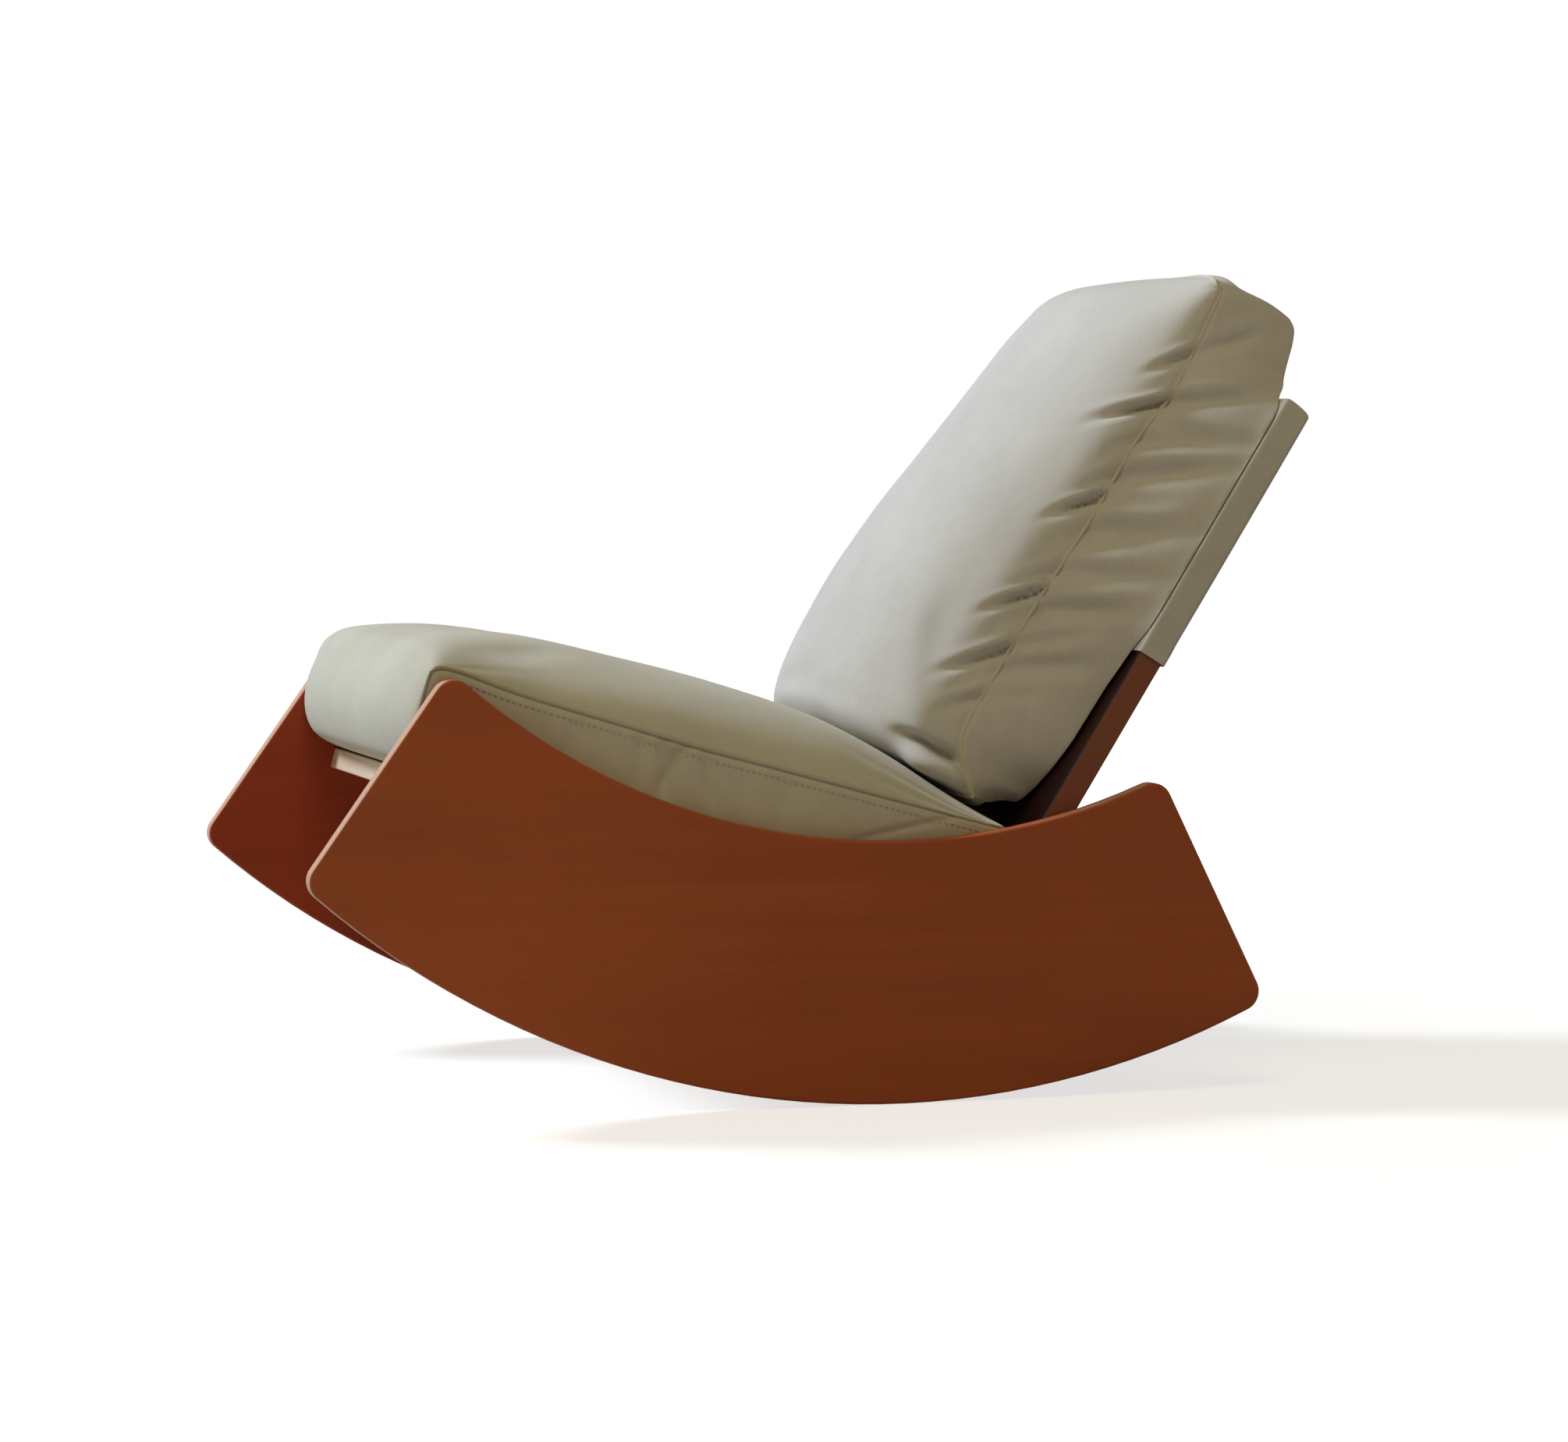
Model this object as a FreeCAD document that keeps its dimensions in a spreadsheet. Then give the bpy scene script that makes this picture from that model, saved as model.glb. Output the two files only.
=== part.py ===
"""Upholstered rocking chair: two curved side panels, a slatted seat, a ladder back and two loose cushions.

The chair faces -Y with +Z up and X across it. The rockers touch the floor on the line y = contact_y, z = 0.
Seat pieces are drawn in a frame turned by seat_tilt and back pieces in a frame turned by back_lean. Both
frames have their origin on that line, so a seat piece has X across, Y along the seat to the rear and Z square
to it, and a back piece has X across, Y through the back to the rear and Z up along it.
"""

import FreeCAD, Part
import math
import os

import Sketcher
from FreeCAD import Placement, Rotation, Vector

DIMENSIONS = (
    ("contact_y", 71, "floor contact line, behind the middle of the chair's length"),
    ("overall_width", 640, "across the outer faces of the side panels"),
    ("panel_thickness", 22, "side panel"),
    ("rocker_radius", 875, "bottom edge of a side panel"),
    ("front_foot_angle", 42.5, "where the front edge leaves the rocking arc, from straight down"),
    ("front_edge_tilt", 35.2, "front edge of a side panel, from upright"),
    ("front_edge_length", 248, "front edge of a side panel before its corners are rounded"),
    ("rear_foot_angle", 26.25, "where the rear edge leaves the rocking arc; that edge is radial"),
    ("rear_edge_length", 253, "rear edge of a side panel before its corners are rounded"),
    ("top_edge_radius", 670, "hollow top edge of a side panel"),
    ("panel_corner", 20, "corner radius of a side panel"),
    ("panel_rounding", 3, "rounded edge of a side panel"),
    ("board_rounding", 2, "rounded long edges of rails, slats and stiles"),
    ("seat_tilt", 14.7, "seat plane, falling to the rear"),
    ("platform_height", 199.5, "top of the slats, square to the seat plane"),
    ("platform_front", -514, "front face of the front rail along the seat"),
    ("front_rail_depth", 60, "front rail along the seat"),
    ("front_rail_height", 21.5, "front rail, square to the seat"),
    ("seat_slat_count", 5, "slats behind the front rail"),
    ("seat_slat_depth", 64, "slat along the seat"),
    ("seat_slat_gap", 34, "between slats along the seat"),
    ("seat_slat_height", 18, "slat, square to the seat"),
    ("seat_slat_end_gap", 1, "between a slat's end and the side panel"),
    ("cleat_front", -440, "front end of a seat cleat along the seat"),
    ("cleat_length", 468, "seat cleat along the seat"),
    ("cleat_side", 30, "square section of a seat cleat"),
    ("cleat_screw_count", 4, "screws that hold a cleat to its panel"),
    ("cleat_screw_inset", 57, "first cleat screw from the cleat's front end"),
    ("cleat_screw_pitch", 118, "between cleat screws"),
    ("back_lean", 32, "back plane, from upright"),
    ("stile_front", -14, "front face of a stile, through the back"),
    ("stile_depth", 26, "stile through the back"),
    ("stile_width", 62, "stile across the chair"),
    ("stile_foot", 130, "lower end of a stile along the back"),
    ("stile_length", 670, "stile along the back"),
    ("rung_count", 6, "rails between the stiles"),
    ("rung_low", 290, "lower edge of the lowest back rail along the back"),
    ("rung_pitch", 85, "between back rails"),
    ("rung_height", 76, "back rail along the back"),
    ("rung_front", -10, "front face of a back rail, through the back"),
    ("rung_depth", 18, "back rail through the back"),
    ("rung_housing", 12, "end of a back rail let into its stile"),
    ("stile_bolt_low", 165, "lower stile bolt along the back"),
    ("stile_bolt_count", 2, "bolts of a stile"),
    ("stile_bolt_pitch", 80, "between the bolts of a stile"),
    ("stile_bolt_diameter", 8, "M8 stile bolt"),
    ("stile_bolt_length", 66, "stile bolt under its head"),
    ("stile_bolt_head", 13, "stile bolt's head across"),
    ("stile_bolt_head_height", 8, "stile bolt's head"),
    ("bolt_recess_diameter", 16, "recess for a stile bolt's head"),
    ("bolt_recess_depth", 10, "recess for a stile bolt's head"),
    ("insert_diameter", 12, "threaded insert in a side panel"),
    ("insert_length", 15, "threaded insert in a side panel"),
    ("insert_hole_depth", 17, "hole behind a threaded insert"),
    ("screw_diameter", 4.5, "shank of a wood screw"),
    ("screw_head", 9, "wood screw's head across"),
    ("screw_head_height", 3, "wood screw's head, sunk flush"),
    ("slat_screw_length", 36, "slat screw with its head"),
    ("cleat_screw_length", 43, "cleat screw with its head"),
    ("dowel_diameter", 8, "dowel between the front rail and a side panel"),
    ("dowel_length", 36, "dowel between the front rail and a side panel"),
    ("dowel_in_panel", 13, "depth of a dowel in its panel"),
    ("dowel_inset", 15, "dowel from the front rail's front and rear faces"),
    ("hole_clearance", 0.15, "between a fastener and its hole, each side"),
    ("tip_gap", 1, "between a fastener's tip and the bottom of its hole"),
    ("cloth_thickness", 2, "cushion covers and back sleeve"),
    ("core_clearance", 0.3, "between a foam core and its cover"),
    ("cushion_clearance", 0.5, "between a cushion and the boards that it slides on"),
    ("seat_cushion_width", 592, "seat cushion across, between the side panels"),
    ("seat_cushion_front", -566, "front of the seat cushion along the seat, at its sides"),
    ("seat_front_swell", 7, "how much further the seat cushion's front stands out at its middle"),
    ("seat_cushion_rear", 44, "rear boxing of the seat cushion along the seat"),
    ("seat_boxing", 97, "side of the seat cushion up to its seam"),
    ("seat_crown", 62, "rise of the seat cushion from its seam to its middle"),
    ("seat_rear_slope", 175, "run of the seat cushion's top that falls to its rear seam"),
    ("seat_rear_lean", 3, "how far the rear seam stands out behind the seat cushion's foot"),
    ("seat_brow", 45, "run of the seat cushion's rounded top front at its sides"),
    ("seat_brow_swell", 130, "how much longer that run is at the middle"),
    ("seat_shoulder", 12, "run and drop of the shoulder at the end of that run, at the sides"),
    ("seat_shoulder_swell", 13, "how much larger they are at the middle"),
    ("seat_nose", 65, "height of the seat cushion's foremost line above its foot, at its sides"),
    ("seat_nose_swell", 8, "how much higher that line is at the middle"),
    ("seat_tuck", 25, "how far the seat cushion's front is drawn in at its foot"),
    ("back_cushion_width", 486, "back cushion across"),
    ("back_cushion_low", 326, "lower face of the back cushion along the back"),
    ("back_cushion_length", 566, "back cushion along the back"),
    ("back_boxing", 95, "side of the back cushion up to its seam"),
    ("back_crown", 108, "rise of the back cushion from its seam to its middle"),
    ("back_shoulder", 0.62, "share of the half width where the back cushion's front turns into its flank"),
    ("back_shoulder_rise", 0.88, "share of the crown at that shoulder"),
    ("back_flank", 0.885, "share of the half width at the middle of the flank"),
    ("back_flank_rise", 0.52, "share of the crown at the middle of the flank"),
    ("side_bulge", 2, "bulge of the back cushion's sides between their edges"),
    ("side_draw", 5, "how far the back cushion's front seam is drawn in between its corners"),
    ("side_flare", 17, "how far the back cushion's sides spread to the rear between its corners"),
    ("top_round", 34, "how far the back cushion's rear face is rounded off at its top"),
    ("sleeve_low", 512, "hem of the back sleeve along the back"),
    ("sleeve_clearance", 0.4, "between the back sleeve and the stiles inside it"),
    ("sleeve_gap", 0.6, "between the back cushion's rear face and its sleeve"),
)

doc = FreeCAD.newDocument("rocking_chair")
sheet = doc.addObject("Spreadsheet::Sheet", "dimensions")
for row, (alias, number, note) in enumerate(DIMENSIONS, start=1):
    sheet.set(f"A{row}", note)
    sheet.set(f"B{row}", str(number))
    sheet.setAlias(f"B{row}", alias)
doc.recompute()


def size(alias):
    """The number in the sheet's cell of that alias."""
    return float(getattr(sheet, alias))


def cells(expression):
    """An expression on the sheet's aliases, each of which is written here as $alias."""
    return expression.replace("$", "dimensions.")


INNER = "($overall_width / 2 - $panel_thickness)"
inner_half = size("overall_width") / 2 - size("panel_thickness")
slat_pitch = size("seat_slat_depth") + size("seat_slat_gap")
first_slat = size("platform_front") + size("front_rail_depth") + size("seat_slat_gap")
cleat_top = size("platform_height") - size("seat_slat_height")
cleat_middle = inner_half - size("cleat_side") / 2
stile_middle = size("stile_front") + size("stile_depth") / 2


def tilted(tilt=None):
    """The placement of a frame on the contact line, turned back by a tilt of the sheet."""
    angle = size(tilt) if tilt else 0
    return Placement(Vector(0, size("contact_y"), 0), Rotation(Vector(-1, 0, 0), angle))


def new_body(label, tilt=None):
    """An empty body in the upright, seat or back frame."""
    body = doc.addObject("PartDesign::Body", label)
    body.Label = label
    body.Placement = tilted(tilt)
    body.setExpression("Placement.Base.y", cells("$contact_y * 1mm"))
    if tilt:
        body.setExpression("Placement.Rotation.Angle", cells(f"${tilt} * 1deg"))
    return body


def new_sketch(body, name, plane, offset="0", turn=None):
    """A sketch on one of the body's own planes, moved along its normal and turned about it."""
    sketch = body.newObject("Sketcher::SketchObject", f"{body.Label}_{name}")
    base = next(feature for feature in body.Origin.OriginFeatures if feature.Role == plane)
    sketch.AttachmentSupport = [(base, "")]
    sketch.MapMode = "FlatFace"
    angle = size(turn) if turn else 0
    sketch.AttachmentOffset = Placement(Vector(0, 0, 0), Rotation(Vector(0, 0, -1), angle))
    sketch.setExpression("AttachmentOffset.Base.z", cells(f"({offset}) * 1mm"))
    if turn:
        sketch.setExpression("AttachmentOffset.Rotation.Angle", cells(f"${turn} * 1deg"))
    return sketch


def drive(sketch, constraint, expression, unit="1mm"):
    """Bind a new constraint of the sketch to an expression on the sheet."""
    index = sketch.addConstraint(constraint)
    sketch.setExpression(f"Constraints[{index}]", cells(f"({expression}) * {unit}"))


def rectangle(sketch, left, low, width, height):
    """A rectangle whose corner and sides are expressions."""
    start_side = 10
    corners = [Vector(start_side * x, start_side * y, 0) for x, y in ((0, 0), (1, 0), (1, 1), (0, 1))]
    first = sketch.GeometryCount
    for start, end in zip(corners, corners[1:] + corners[:1]):
        sketch.addGeometry(Part.LineSegment(start, end), False)
    for side in range(4):
        sketch.addConstraint(Sketcher.Constraint("Coincident", first + side, 2, first + (side + 1) % 4, 1))
    for side, direction in enumerate(("Horizontal", "Vertical", "Horizontal", "Vertical")):
        sketch.addConstraint(Sketcher.Constraint(direction, first + side))
    drive(sketch, Sketcher.Constraint("DistanceX", first, 1, first, 2, start_side), width)
    drive(sketch, Sketcher.Constraint("DistanceY", first + 1, 1, first + 1, 2, start_side), height)
    drive(sketch, Sketcher.Constraint("DistanceX", first, 1, 1), left)
    drive(sketch, Sketcher.Constraint("DistanceY", first, 1, 1), low)


def circle(sketch, across, up, diameter):
    """A circle whose centre and diameter are expressions."""
    index = sketch.addGeometry(Part.Circle(Vector(1, 1, 0), Vector(0, 0, 1), 2), False)
    drive(sketch, Sketcher.Constraint("Diameter", index, 4), diameter)
    drive(sketch, Sketcher.Constraint("DistanceX", index, 3, 1), across)
    drive(sketch, Sketcher.Constraint("DistanceY", index, 3, 1), up)


def pad(body, sketch, length, midplane=False):
    """A pad along the sketch's normal, or to both sides of it."""
    feature = body.newObject("PartDesign::Pad", f"{sketch.Label}_pad")
    feature.Profile = sketch
    feature.SideType = "Symmetric" if midplane else "One side"
    feature.setExpression("Length", cells(f"({length}) * 1mm"))
    doc.recompute()
    return feature


def pocket(body, sketch, depth, along_normal):
    """A pocket of a stated depth. It raises an error if it takes nothing away."""
    before = body.Shape.Volume
    feature = body.newObject("PartDesign::Pocket", f"{sketch.Label}_pocket")
    feature.Profile = sketch
    feature.Reversed = along_normal
    feature.setExpression("Length", cells(f"({depth}) * 1mm"))
    doc.recompute()
    if body.Shape.Volume > before - 1:
        raise RuntimeError(f"{feature.Label} cuts nothing")
    return feature


def repeat(body, feature, axis, count, pitch):
    """A row of copies of a feature along one of the body's own axes."""
    before = body.Shape.Volume
    row = body.newObject("PartDesign::LinearPattern", f"{feature.Label}_row")
    row.Originals = [feature]
    line = next(part for part in body.Origin.OriginFeatures if part.Role == axis)
    row.Direction = (line, [""])
    row.Mode = "Spacing"
    row.setExpression("Occurrences", cells(count))
    row.setExpression("Offset", cells(f"({pitch}) * 1mm"))
    body.Tip = row
    doc.recompute()
    if body.Shape.Volume > before - 1:
        raise RuntimeError(f"{row.Label} cuts nothing")


def fillet(body, base, radius, wanted):
    """Round the edges of a feature that a test picks out."""
    names = [f"Edge{number}" for number, edge in enumerate(base.Shape.Edges, start=1) if wanted(edge)]
    if not names:
        raise RuntimeError(f"{body.Label} has no edge to round")
    feature = body.newObject("PartDesign::Fillet", f"{base.Label}_rounded")
    feature.Base = (base, names)
    feature.setExpression("Radius", cells(f"${radius} * 1mm"))
    doc.recompute()
    return feature


def runs_along(axis):
    """A test for straight edges along a row axis of the body's own frame, given as a vector."""

    def wanted(edge):
        straight = edge.Curve.TypeId == "Part::GeomLine"
        return straight and abs(abs(edge.tangentAt(edge.FirstParameter).dot(axis)) - 1) < 1e-6

    return wanted


def mirrored(source, label):
    """The right-hand twin of a left-hand piece."""
    twin = doc.addObject("Part::Mirroring", label)
    twin.Label = label
    twin.Source = source
    twin.Normal = Vector(1, 0, 0)
    return twin


def arc_low_point(start, end, radius):
    """The middle of the arc of a radius that hangs from start to end in a sketch."""
    chord = end - start
    drop = radius - math.sqrt(radius**2 - chord.Length**2 / 4)
    return (start + end) * 0.5 + Vector(chord.y, -chord.x, 0).normalize() * drop


def side_panel():
    """The left side panel: a hollowed board whose bottom edge is the rocking arc."""
    body = new_body("left_rocker_panel")
    outline = new_sketch(body, "outline", "YZ_Plane", INNER)
    foot_front = ("-$rocker_radius * sin($front_foot_angle)", "$rocker_radius * (1 - cos($front_foot_angle))")
    foot_rear = ("$rocker_radius * sin($rear_foot_angle)", "$rocker_radius * (1 - cos($rear_foot_angle))")
    top_front = (
        f"{foot_front[0]} + $front_edge_length * sin($front_edge_tilt)",
        f"{foot_front[1]} + $front_edge_length * cos($front_edge_tilt)",
    )
    top_rear = (
        f"{foot_rear[0]} - $rear_edge_length * sin($rear_foot_angle)",
        f"{foot_rear[1]} + $rear_edge_length * cos($rear_foot_angle)",
    )
    radius = size("rocker_radius")
    front = math.radians(size("front_foot_angle"))
    rear = math.radians(size("rear_foot_angle"))
    tilt = math.radians(size("front_edge_tilt"))
    low_start = Vector(-radius * math.sin(front), radius * (1 - math.cos(front)), 0)
    low_end = Vector(radius * math.sin(rear), radius * (1 - math.cos(rear)), 0)
    high_start = low_start + Vector(math.sin(tilt), math.cos(tilt), 0) * size("front_edge_length")
    high_end = low_end + Vector(-math.sin(rear), math.cos(rear), 0) * size("rear_edge_length")
    hollow = arc_low_point(high_start, high_end, size("top_edge_radius"))
    outline.addGeometry(Part.Arc(low_start, Vector(0, 0, 0), low_end), False)
    outline.addGeometry(Part.LineSegment(low_end, high_end), False)
    outline.addGeometry(Part.Arc(high_start, hollow, high_end), False)
    outline.addGeometry(Part.LineSegment(high_start, low_start), False)
    for first, first_end, second, second_end in ((0, 2, 1, 1), (1, 2, 2, 2), (2, 1, 3, 1), (3, 2, 0, 1)):
        outline.addConstraint(Sketcher.Constraint("Coincident", first, first_end, second, second_end))
    drive(outline, Sketcher.Constraint("Radius", 0, radius), "$rocker_radius")
    drive(outline, Sketcher.Constraint("Radius", 2, size("top_edge_radius")), "$top_edge_radius")
    for line, end, point, place in ((1, 1, low_end, foot_rear), (1, 2, high_end, top_rear),
                                    (3, 1, high_start, top_front), (3, 2, low_start, foot_front)):
        drive(outline, Sketcher.Constraint("DistanceX", line, end, point.x), place[0])
        drive(outline, Sketcher.Constraint("DistanceY", line, end, point.y), place[1])
    board = pad(body, outline, "$panel_thickness")
    corners = fillet(body, board, "panel_corner", runs_along(Vector(1, 0, 0)))
    faces = (inner_half, size("overall_width") / 2)

    def on_a_face(edge):
        box = edge.BoundBox
        return box.XLength < 1e-6 and min(abs(box.XMin - face) for face in faces) < 1e-6

    fillet(body, corners, "panel_rounding", on_a_face)

    screws = new_sketch(body, "cleat_screw_holes", "YZ_Plane", INNER, "seat_tilt")
    for number in range(int(size("cleat_screw_count"))):
        circle(screws, f"$cleat_front + $cleat_screw_inset + {number} * $cleat_screw_pitch",
               "$platform_height - $seat_slat_height - $cleat_side / 2",
               "$screw_diameter + 2 * $hole_clearance")
    pocket(body, screws, "$cleat_screw_length - $cleat_side + $tip_gap", True)

    dowels = new_sketch(body, "dowel_holes", "YZ_Plane", INNER, "seat_tilt")
    for along in ("$platform_front + $dowel_inset", "$platform_front + $front_rail_depth - $dowel_inset"):
        circle(dowels, along, "$platform_height - $front_rail_height / 2",
               "$dowel_diameter + 2 * $hole_clearance")
    pocket(body, dowels, "$dowel_in_panel + $tip_gap", True)

    inserts = new_sketch(body, "insert_holes", "YZ_Plane", INNER, "back_lean")
    for number in range(int(size("stile_bolt_count"))):
        circle(inserts, "$stile_front + $stile_depth / 2", f"$stile_bolt_low + {number} * $stile_bolt_pitch",
               "$insert_diameter + 2 * $hole_clearance")
    pocket(body, inserts, "$insert_hole_depth", True)
    return body


def seat_cleat():
    """The left seat cleat: a square batten screwed to the panel's inner face, which carries the slats."""
    body = new_body("left_seat_cleat", "seat_tilt")
    section = new_sketch(body, "section", "YZ_Plane", f"{INNER} - $cleat_side")
    rectangle(section, "$cleat_front", "$platform_height - $seat_slat_height - $cleat_side",
              "$cleat_length", "$cleat_side")
    pad(body, section, "$cleat_side")

    sides = new_sketch(body, "panel_screw_holes", "YZ_Plane", f"{INNER} - $cleat_side")
    heads = new_sketch(body, "panel_screw_heads", "YZ_Plane", f"{INNER} - $cleat_side")
    height = "$platform_height - $seat_slat_height - $cleat_side / 2"
    for number in range(int(size("cleat_screw_count"))):
        along = f"$cleat_front + $cleat_screw_inset + {number} * $cleat_screw_pitch"
        circle(sides, along, height, "$screw_diameter + 2 * $hole_clearance")
        circle(heads, along, height, "$screw_head + 2 * $hole_clearance")
    pocket(body, sides, "$cleat_side", True)
    pocket(body, heads, "$screw_head_height", True)

    tops = new_sketch(body, "slat_screw_holes", "XY_Plane", "$platform_height - $seat_slat_height")
    circle(tops, f"{INNER} - $cleat_side / 2",
           "$platform_front + $front_rail_depth + $seat_slat_gap + $seat_slat_depth / 2",
           "$screw_diameter + 2 * $hole_clearance")
    hole = pocket(body, tops, "$slat_screw_length - $seat_slat_height + $tip_gap", False)
    repeat(body, hole, "Y_Axis", "$seat_slat_count", "$seat_slat_depth + $seat_slat_gap")
    return body


def front_rail():
    """The seat's front rail, dowelled between the side panels."""
    body = new_body("seat_front_rail", "seat_tilt")
    section = new_sketch(body, "section", "YZ_Plane")
    rectangle(section, "$platform_front", "$platform_height - $front_rail_height",
              "$front_rail_depth", "$front_rail_height")
    board = pad(body, section, f"2 * {INNER}", midplane=True)
    fillet(body, board, "board_rounding", runs_along(Vector(1, 0, 0)))
    for name, offset, along_normal in (("left", INNER, False), ("right", f"-{INNER}", True)):
        holes = new_sketch(body, f"{name}_dowel_holes", "YZ_Plane", offset)
        for along in ("$platform_front + $dowel_inset", "$platform_front + $front_rail_depth - $dowel_inset"):
            circle(holes, along, "$platform_height - $front_rail_height / 2",
                   "$dowel_diameter + 2 * $hole_clearance")
        pocket(body, holes, "$dowel_length - $dowel_in_panel + $tip_gap", along_normal)
    return body


def seat_slat(number):
    """A seat slat, screwed down to both cleats."""
    body = new_body(f"seat_slat_{number + 1}", "seat_tilt")
    pitch = "($seat_slat_depth + $seat_slat_gap)"
    start = f"$platform_front + $front_rail_depth + $seat_slat_gap + {number} * {pitch}"
    section = new_sketch(body, "section", "YZ_Plane")
    rectangle(section, start, "$platform_height - $seat_slat_height", "$seat_slat_depth", "$seat_slat_height")
    board = pad(body, section, f"2 * ({INNER} - $seat_slat_end_gap)", midplane=True)
    fillet(body, board, "board_rounding", runs_along(Vector(1, 0, 0)))
    shanks = new_sketch(body, "screw_holes", "XY_Plane", "$platform_height")
    heads = new_sketch(body, "screw_heads", "XY_Plane", "$platform_height")
    for across in (f"{INNER} - $cleat_side / 2", f"$cleat_side / 2 - {INNER}"):
        circle(shanks, across, f"{start} + $seat_slat_depth / 2", "$screw_diameter + 2 * $hole_clearance")
        circle(heads, across, f"{start} + $seat_slat_depth / 2", "$screw_head + 2 * $hole_clearance")
    pocket(body, shanks, "$seat_slat_height", False)
    pocket(body, heads, "$screw_head_height", False)
    return body


def back_stile():
    """The left back stile, bolted to the panel's inner face, with housings for the back rails."""
    body = new_body("left_back_stile", "back_lean")
    section = new_sketch(body, "section", "XY_Plane", "$stile_foot")
    rectangle(section, f"{INNER} - $stile_width", "$stile_front", "$stile_width", "$stile_depth")
    post = pad(body, section, "$stile_length")
    fillet(body, post, "board_rounding", runs_along(Vector(0, 0, 1)))

    housing = new_sketch(body, "housing", "YZ_Plane", f"{INNER} - $stile_width")
    rectangle(housing, "$rung_front", "$rung_low", "$rung_depth", "$rung_height")
    first = pocket(body, housing, "$rung_housing", True)
    repeat(body, first, "Z_Axis", "$rung_count", "$rung_pitch")

    shanks = new_sketch(body, "bolt_holes", "YZ_Plane", f"{INNER} - $stile_width")
    heads = new_sketch(body, "bolt_recesses", "YZ_Plane", f"{INNER} - $stile_width")
    for number in range(int(size("stile_bolt_count"))):
        along = f"$stile_bolt_low + {number} * $stile_bolt_pitch"
        circle(shanks, "$stile_front + $stile_depth / 2", along, "$stile_bolt_diameter + 2 * $hole_clearance")
        circle(heads, "$stile_front + $stile_depth / 2", along, "$bolt_recess_diameter")
    pocket(body, shanks, "$stile_width", True)
    pocket(body, heads, "$bolt_recess_depth", True)
    return body


def back_rung(number, label):
    """A back rail, let into both stiles."""
    body = new_body(label, "back_lean")
    section = new_sketch(body, "section", "YZ_Plane")
    rectangle(section, "$rung_front", f"$rung_low + {number} * $rung_pitch", "$rung_depth", "$rung_height")
    pad(body, section, f"2 * ({INNER} - $stile_width + $rung_housing)", midplane=True)
    return body


def rod(name, frame, start, direction, diameter, length):
    """A cylinder in a tilted frame, from a start point along a direction, with its sizes from the sheet."""
    cylinder = doc.addObject("Part::Cylinder", name)
    cylinder.setExpression("Radius", cells(f"({diameter}) / 2 * 1mm"))
    cylinder.setExpression("Height", cells(f"({length}) * 1mm"))
    cylinder.Placement = frame.multiply(Placement(start, Rotation(Vector(0, 0, 1), direction)))
    return cylinder


def headed(name, frame, top, direction, head, head_height, shank, length):
    """A screw or bolt: a head from its top along its direction, with the shank beyond it."""
    head_rod = rod(f"{name}_head", frame, top, direction, head, head_height)
    shank_rod = rod(f"{name}_shank", frame, top, direction, shank, length)
    fastener = doc.addObject("Part::Fuse", name)
    fastener.Base = head_rod
    fastener.Tool = shank_rod
    return fastener


def group(label, members):
    """Like fasteners as one node of separate solids."""
    compound = doc.addObject("Part::Compound", label)
    compound.Label = label
    compound.Links = members
    return compound


def slat_screws():
    """Wood screws down through the ends of the slats into the cleats."""
    frame = tilted("seat_tilt")
    members = []
    for number in range(int(size("seat_slat_count"))):
        along = first_slat + number * slat_pitch + size("seat_slat_depth") / 2
        for side in (-1, 1):
            top = Vector(side * cleat_middle, along, size("platform_height"))
            members.append(headed(f"slat_screw_{len(members) + 1}", frame, top, Vector(0, 0, -1),
                                  "$screw_head", "$screw_head_height", "$screw_diameter",
                                  "$slat_screw_length"))
    return group("seat_slat_screws", members)


def cleat_screws():
    """Wood screws sideways through the cleats into the side panels."""
    frame = tilted("seat_tilt")
    members = []
    for number in range(int(size("cleat_screw_count"))):
        along = size("cleat_front") + size("cleat_screw_inset") + number * size("cleat_screw_pitch")
        for side in (-1, 1):
            top = Vector(side * (inner_half - size("cleat_side")), along, cleat_top - size("cleat_side") / 2)
            members.append(headed(f"cleat_screw_{len(members) + 1}", frame, top, Vector(side, 0, 0),
                                  "$screw_head", "$screw_head_height", "$screw_diameter",
                                  "$cleat_screw_length"))
    return group("cleat_screws", members)


def rail_dowels():
    """Dowels between the front rail's ends and the side panels."""
    frame = tilted("seat_tilt")
    members = []
    height = size("platform_height") - size("front_rail_height") / 2
    front = size("platform_front") + size("dowel_inset")
    rear = size("platform_front") + size("front_rail_depth") - size("dowel_inset")
    for side in (-1, 1):
        for along in (front, rear):
            start = Vector(side * (inner_half + size("dowel_in_panel")), along, height)
            members.append(rod(f"dowel_{len(members) + 1}", frame, start, Vector(-side, 0, 0),
                               "$dowel_diameter", "$dowel_length"))
    return group("front_rail_dowels", members)


def stile_bolts():
    """Bolts sideways through the stiles into the side panels' threaded inserts."""
    frame = tilted("back_lean")
    members = []
    for number in range(int(size("stile_bolt_count"))):
        along = size("stile_bolt_low") + number * size("stile_bolt_pitch")
        seat = inner_half - size("stile_width") + size("bolt_recess_depth")
        for side in (-1, 1):
            top = Vector(side * (seat - size("stile_bolt_head_height")), stile_middle, along)
            members.append(headed(f"stile_bolt_{len(members) + 1}", frame, top, Vector(side, 0, 0),
                                  "$stile_bolt_head", "$stile_bolt_head_height", "$stile_bolt_diameter",
                                  "$stile_bolt_length + $stile_bolt_head_height"))
    return group("stile_bolts", members)


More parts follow.
